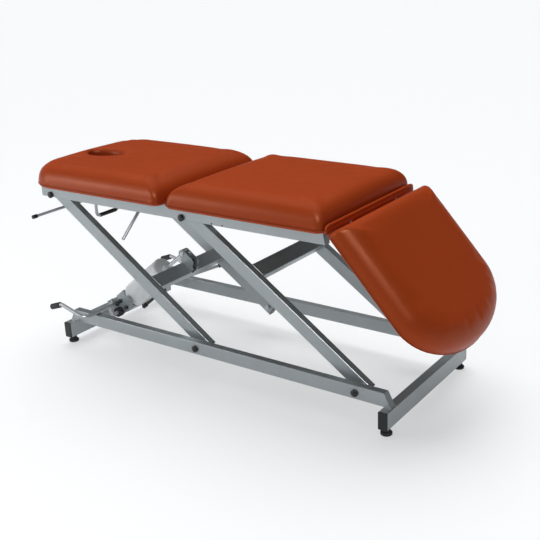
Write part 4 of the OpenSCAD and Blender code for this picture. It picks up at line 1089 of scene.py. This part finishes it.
# Weld beads, in millimetres: ends of each arm cross tube along its arm; places on the base, how far
# they start inside the two ends of its cross tubes, and their height over them.
ARM_WELDS = {"head": (282, 342), "foot": (516, 577)}
ARM_WELD_SIDE, ARM_WELD_FACES, ARM_WELD_IN, ARM_WELD_TALL = 196.6, (24.6, -4.6), 5, 21
BASE_WELDS, BASE_WELD_IN, BASE_WELD_UP = (245, 275), (4, 2), 0.6


class Details:
    """Small visible pieces that ride on the frame's bodies."""

    def __init__(self, shop: Shop) -> None:
        self.shop = shop
        pivots = {j["name"]: Vector(j["pos_m"]) for j in frame["joints"] if "pos_m" in j}
        ram = middle("ram_pin")
        self.arm = Tilted(pivots["lift"], ARM_ANGLE, True)
        reach = ram - pivots["pump_tilt"]
        self.pump = Tilted(pivots["pump_tilt"], math.degrees(math.atan2(reach.z, reach.x)), False)

    def ear_rubber(self) -> None:
        """Adds the rubber edge on the foot side of the near ear of the ram."""
        outline = EAR_INNER + EAR_OUTER[::-1]
        lines = [[self.arm.at(a, y, n) for a, n in outline] for y in EAR_SIDES]
        strip = ribbon("ear_rubber", lines, EAR_BEVEL * MM)
        dress(strip, self.shop.make(Slot.RUBBER), "head_arms")

    def bolt_caps(self) -> None:
        """Adds the black caps on the bolts of the pump's cheeks."""
        for i, (along, above) in enumerate(CHEEK_BOLTS):
            for side in (-1, 1):
                start = self.pump.at(along, side * CHEEK_FACE, above)
                cap = turned(f"bolt_cap_{i}_{side}", start, Vector((0, side, 0)), CAP_PROFILE)
                dress(cap, self.shop.make(Slot.PLASTIC), "pump")

    def welds(self) -> None:
        """Adds the weld beads of the arm cross tubes and of the base."""
        shop, arm = self.shop, self.arm
        paint = shop.make(Slot.PAINT)
        foot = Tilted(arm.origin + Vector((FOOT_SIDE_SHIFT, 0, 0)), arm.degrees, True)
        for name, side_arm in (("head", arm), ("foot", foot)):
            span, body = ARM_WELDS[name], name + "_arms"
            for side in (-1, 1):
                y = side * ARM_WELD_SIDE
                for k, n in enumerate(ARM_WELD_FACES):
                    a = side_arm.at(span[0] + ARM_WELD_IN, y, n)
                    b = side_arm.at(span[1] - ARM_WELD_IN, y, n)
                    dress(weld(f"weld_{name}_{side}_{k}", a, b), paint, body)
                for k, d in enumerate(span):
                    a, b = side_arm.at(d, y, 0), side_arm.at(d, y, ARM_WELD_TALL)
                    dress(weld(f"weld_{name}_{side}_up_{k}", a, b), paint, body)
        for node in ("base_cross_head", "base_cross_foot"):
            low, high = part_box(node)
            for side in (-1, 1):
                for y in BASE_WELDS:
                    z = high.z + BASE_WELD_UP * MM
                    a = Vector((low.x + BASE_WELD_IN[0] * MM, side * y * MM, z))
                    b = Vector((high.x - BASE_WELD_IN[1] * MM, side * y * MM, z))
                    dress(weld(f"weld_{node}_{side}_{y}", a, b), paint, "base")

    def build(self) -> None:
        """Adds all of them."""
        self.ear_rubber()
        self.bolt_caps()
        self.welds()


# Stage


@dataclass(frozen=True)
class Shot:
    """Camera of the photograph: place, turns in radians, and lens in millimetres."""

    place: Point = (1.93181, -2.59126, 1.52598)
    yaw: float = 0.62810
    pitch: float = 0.34738
    roll: float = 0.04212
    lens: float = 60.170

    def add(self) -> None:
        """Adds the camera to the scene and makes it the active one."""
        cy, sy = math.cos(self.yaw), math.sin(self.yaw)
        ahead = Vector((-sy * math.cos(self.pitch), cy * math.cos(self.pitch), -math.sin(self.pitch)))
        right = Vector((cy, sy, 0.0))
        down = ahead.cross(right)
        c, s = math.cos(self.roll), math.sin(self.roll)
        x = c * right + s * down
        y = -(-s * right + c * down)
        data = bpy.data.cameras.new("photo_camera")
        data.lens = self.lens
        data.sensor_width = 36.0
        data.clip_end = 60.0
        cam = bpy.data.objects.new("photo_camera", data)
        cam.matrix_world = Matrix(((x.x, y.x, -ahead.x, self.place[0]), (x.y, y.y, -ahead.y, self.place[1]),
                                   (x.z, y.z, -ahead.z, self.place[2]), (0, 0, 0, 1)))
        bpy.context.scene.collection.objects.link(cam)
        bpy.context.scene.camera = cam


@dataclass(frozen=True)
class Lamp:
    """Soft area light aimed at a point."""

    name: str
    place: Point
    target: Point
    size: float
    power: float
    gloss_only: bool = False

    def add(self) -> None:
        """Adds the light to the scene."""
        data = bpy.data.lights.new(self.name, "AREA")
        data.shape = "DISK"
        data.size = self.size
        data.energy = self.power
        lamp = bpy.data.objects.new(self.name, data)
        lamp.location = self.place
        lamp.visible_diffuse = not self.gloss_only
        aim = Vector(self.target) - Vector(self.place)
        lamp.rotation_euler = aim.to_track_quat("-Z", "Y").to_euler()
        bpy.context.scene.collection.objects.link(lamp)


LAMPS = (
    Lamp("left", (-2.9, -2.6, 1.5), (-0.2, -0.2, 0.5), 1.6, 22.0),
    Lamp("left_gloss", (-2.9, -2.6, 1.5), (-0.2, -0.2, 0.5), 1.6, 34.0, gloss_only=True),
    Lamp("right_gloss", (1.7, -2.3, 3.3), (0.6, -0.1, 0.4), 2.0, 170.0, gloss_only=True),
)


NEAR_SKY, FAR_SKY = 0.30, 0.04
SUN_POWER, SUN_WIDTH, SUN_FROM = 2.95, 60, (-0.30, 0.35, 0.89)
SKY_COLOR, BACKDROP_COLOR = (0.95, 0.97, 1.0, 1), (0.955, 0.968, 0.98, 1)
FLOOR_COLOR, FLOOR_GLOW_COLOR, FLOOR_ROUGH = (0.46, 0.468, 0.475, 1), (0.985, 0.995, 1, 1), 0.8
FLOOR_HALF, FLOOR_GLOW, FLOOR_GLOW_SEEN = 80.0, 0.36, 0.5


def add_sky() -> None:
    """Adds the surrounding light, stronger on the near side, and the pale backdrop."""
    world = bpy.data.worlds.new("even_light")
    world.use_nodes = True
    tree = world.node_tree
    lit, seen = tree.nodes["Background"], tree.nodes.new("ShaderNodeBackground")
    preset(lit, {"Color": SKY_COLOR})
    around, split = tree.nodes.new("ShaderNodeNewGeometry"), tree.nodes.new("ShaderNodeSeparateXYZ")
    fall = preset(tree.nodes.new("ShaderNodeMapRange"),
                  {"From Min": -0.7, "From Max": 0.7, "To Min": FAR_SKY, "To Max": NEAR_SKY})
    tree.links.new(around.outputs["Incoming"], split.inputs[0])
    tree.links.new(split.outputs["Y"], fall.inputs["Value"])
    tree.links.new(fall.outputs["Result"], lit.inputs["Strength"])
    preset(seen, {"Color": BACKDROP_COLOR})
    ray, pick = tree.nodes.new("ShaderNodeLightPath"), tree.nodes.new("ShaderNodeMixShader")
    tree.links.new(ray.outputs["Is Camera Ray"], pick.inputs[0])
    tree.links.new(lit.outputs[0], pick.inputs[1])
    tree.links.new(seen.outputs[0], pick.inputs[2])
    tree.links.new(pick.outputs[0], tree.nodes["World Output"].inputs["Surface"])
    bpy.context.scene.world = world


def add_sun() -> None:
    """Adds the wide light from overhead."""
    sun = bpy.data.objects.new("overhead", bpy.data.lights.new("overhead", "SUN"))
    sun.data.energy = SUN_POWER
    sun.data.angle = math.radians(SUN_WIDTH)
    sun.rotation_euler = Vector(SUN_FROM).to_track_quat("Z", "Y").to_euler()
    sun.visible_glossy = False
    bpy.context.scene.collection.objects.link(sun)


def add_floor() -> None:
    """Adds the pale floor, which glows a little more to the camera than to the table."""
    h = FLOOR_HALF
    floor = mesh_object("floor", [(-h, -h, 0), (h, -h, 0), (h, h, 0), (-h, h, 0)], [(0, 1, 2, 3)])
    mat = bpy.data.materials.new("pale_floor")
    mat.use_nodes = True
    tree = mat.node_tree
    shader = preset(tree.nodes["Principled BSDF"], {"Base Color": FLOOR_COLOR, "Roughness": FLOOR_ROUGH,
                                                    "Emission Color": FLOOR_GLOW_COLOR})
    glow = preset(tree.nodes.new("ShaderNodeMapRange"), {"To Min": FLOOR_GLOW, "To Max": FLOOR_GLOW_SEEN})
    ray = tree.nodes.new("ShaderNodeLightPath")
    tree.links.new(ray.outputs["Is Camera Ray"], glow.inputs["Value"])
    tree.links.new(glow.outputs["Result"], shader.inputs["Emission Strength"])
    floor.data.materials.append(mat)
    floor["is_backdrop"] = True


def add_stage() -> None:
    """Adds the light, the floor and the lamps, and sets the view transform."""
    add_sky()
    add_sun()
    add_floor()
    for lamp in LAMPS:
        lamp.add()
    view = bpy.context.scene.view_settings
    view.view_transform = "Standard"
    view.look = "None"
    view.exposure = 0.0


# The table


def middle(node: str) -> Vector:
    """Gives the middle of a node's box.

    Args:
        node: node name.

    Returns:
        The point in metres.
    """
    low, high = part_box(node)
    return (Vector(low) + Vector(high)) / 2


# Millimetres from the head end to the middle of the hole, degrees that the leg section hangs, and
# millimetres that the cover of the strip is wider than its core.
HOLE_IN, LEG_HANG, STRIP_FULLNESS = 144, 48, 3


class Table:
    """The whole table: finishes of the kept nodes and the pieces added to them."""

    def __init__(self) -> None:
        self.shop = Shop()
        self.slots = {s["node"]: Slot(s["material_slot"]) for s in frame["record"]["subparts"]}

    def finish_nodes(self) -> None:
        """Gives every CAD node the finish of its slot."""
        for name, obj in frame["nodes"].items():
            material = self.shop.make(self.slots[name])
            obj.data.materials.clear()
            obj.data.materials.append(material)
        LOG.info("finished %d nodes", len(frame["nodes"]))

    def pads(self) -> None:
        """Makes the three pads and the hinge strip."""
        swell = Swell()
        low, high = ([c / MM for c in p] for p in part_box("seat_cushion"))
        z0, top = low[2], high[2]
        seat = PadShape(low[0], high[0], high[1], z0, top, shoulders=(z0 + 24, z0 + 17, z0 + 24),
                        rounds=(58, 95, 56), corners=(28, 28))
        Pad("seat_pad", "top_frame", "seat_cushion", seat, swell).build(self.shop)
        low, high = ([c / MM for c in p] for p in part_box("back_cushion"))
        back = PadShape(low[0], high[0], high[1], z0, top, shoulders=(z0 + 24, z0 + 26, z0 + 17),
                        rounds=(58, 40, 95), corners=(120, 28), flare=0.6)
        hole = Hole(low[0] + HOLE_IN, length=178, width=108, roll=26, depth=20)
        Pad("back_pad", "backrest", "back_cushion", back, swell, hole).build(self.shop)
        hinge = next(j for j in frame["joints"] if j["name"] == "leg_raise")
        leg = PadShape(x0=8, x1=558, half=312, z0=0.3, top=88, shoulders=(24, 36, 24), rounds=(58, 30, 60),
                       corners=(16, 16), tip=190, flare=0.6)
        place = Matrix.Translation(Vector(hinge["pos_m"])) @ Matrix.Rotation(math.radians(LEG_HANG), 4, "Y")
        Pad("leg_pad", "leg_section", "leg_cushion", leg, swell, place=place).build(self.shop)
        low, high = ([c / MM for c in p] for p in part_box("leg_hinge_strip"))
        Strip("leg_strip", (low[0] + high[0]) / 2, high[1], low[2], high[0] - low[0] + STRIP_FULLNESS,
              high[2] - low[2]).build(self.shop, "top_frame", ["leg_hinge_strip"])

    def build(self) -> None:
        """Builds everything that rides on the frame."""
        self.finish_nodes()
        self.pads()
        Details(self.shop).build()


def write_size(last: Sequence[Sequence[float]]) -> None:
    """Takes the object's box at the end and does nothing with it.

    Args:
        last: box at the end; not used.
    """
    import json


def main() -> None:
    """Builds the table, the stage and the camera."""
    logging.basicConfig(level=logging.INFO)
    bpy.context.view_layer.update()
    add_stage()
    Shot().add()
    Table().build()
    write_size(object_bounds())


if __name__ == "__main__":
    main()
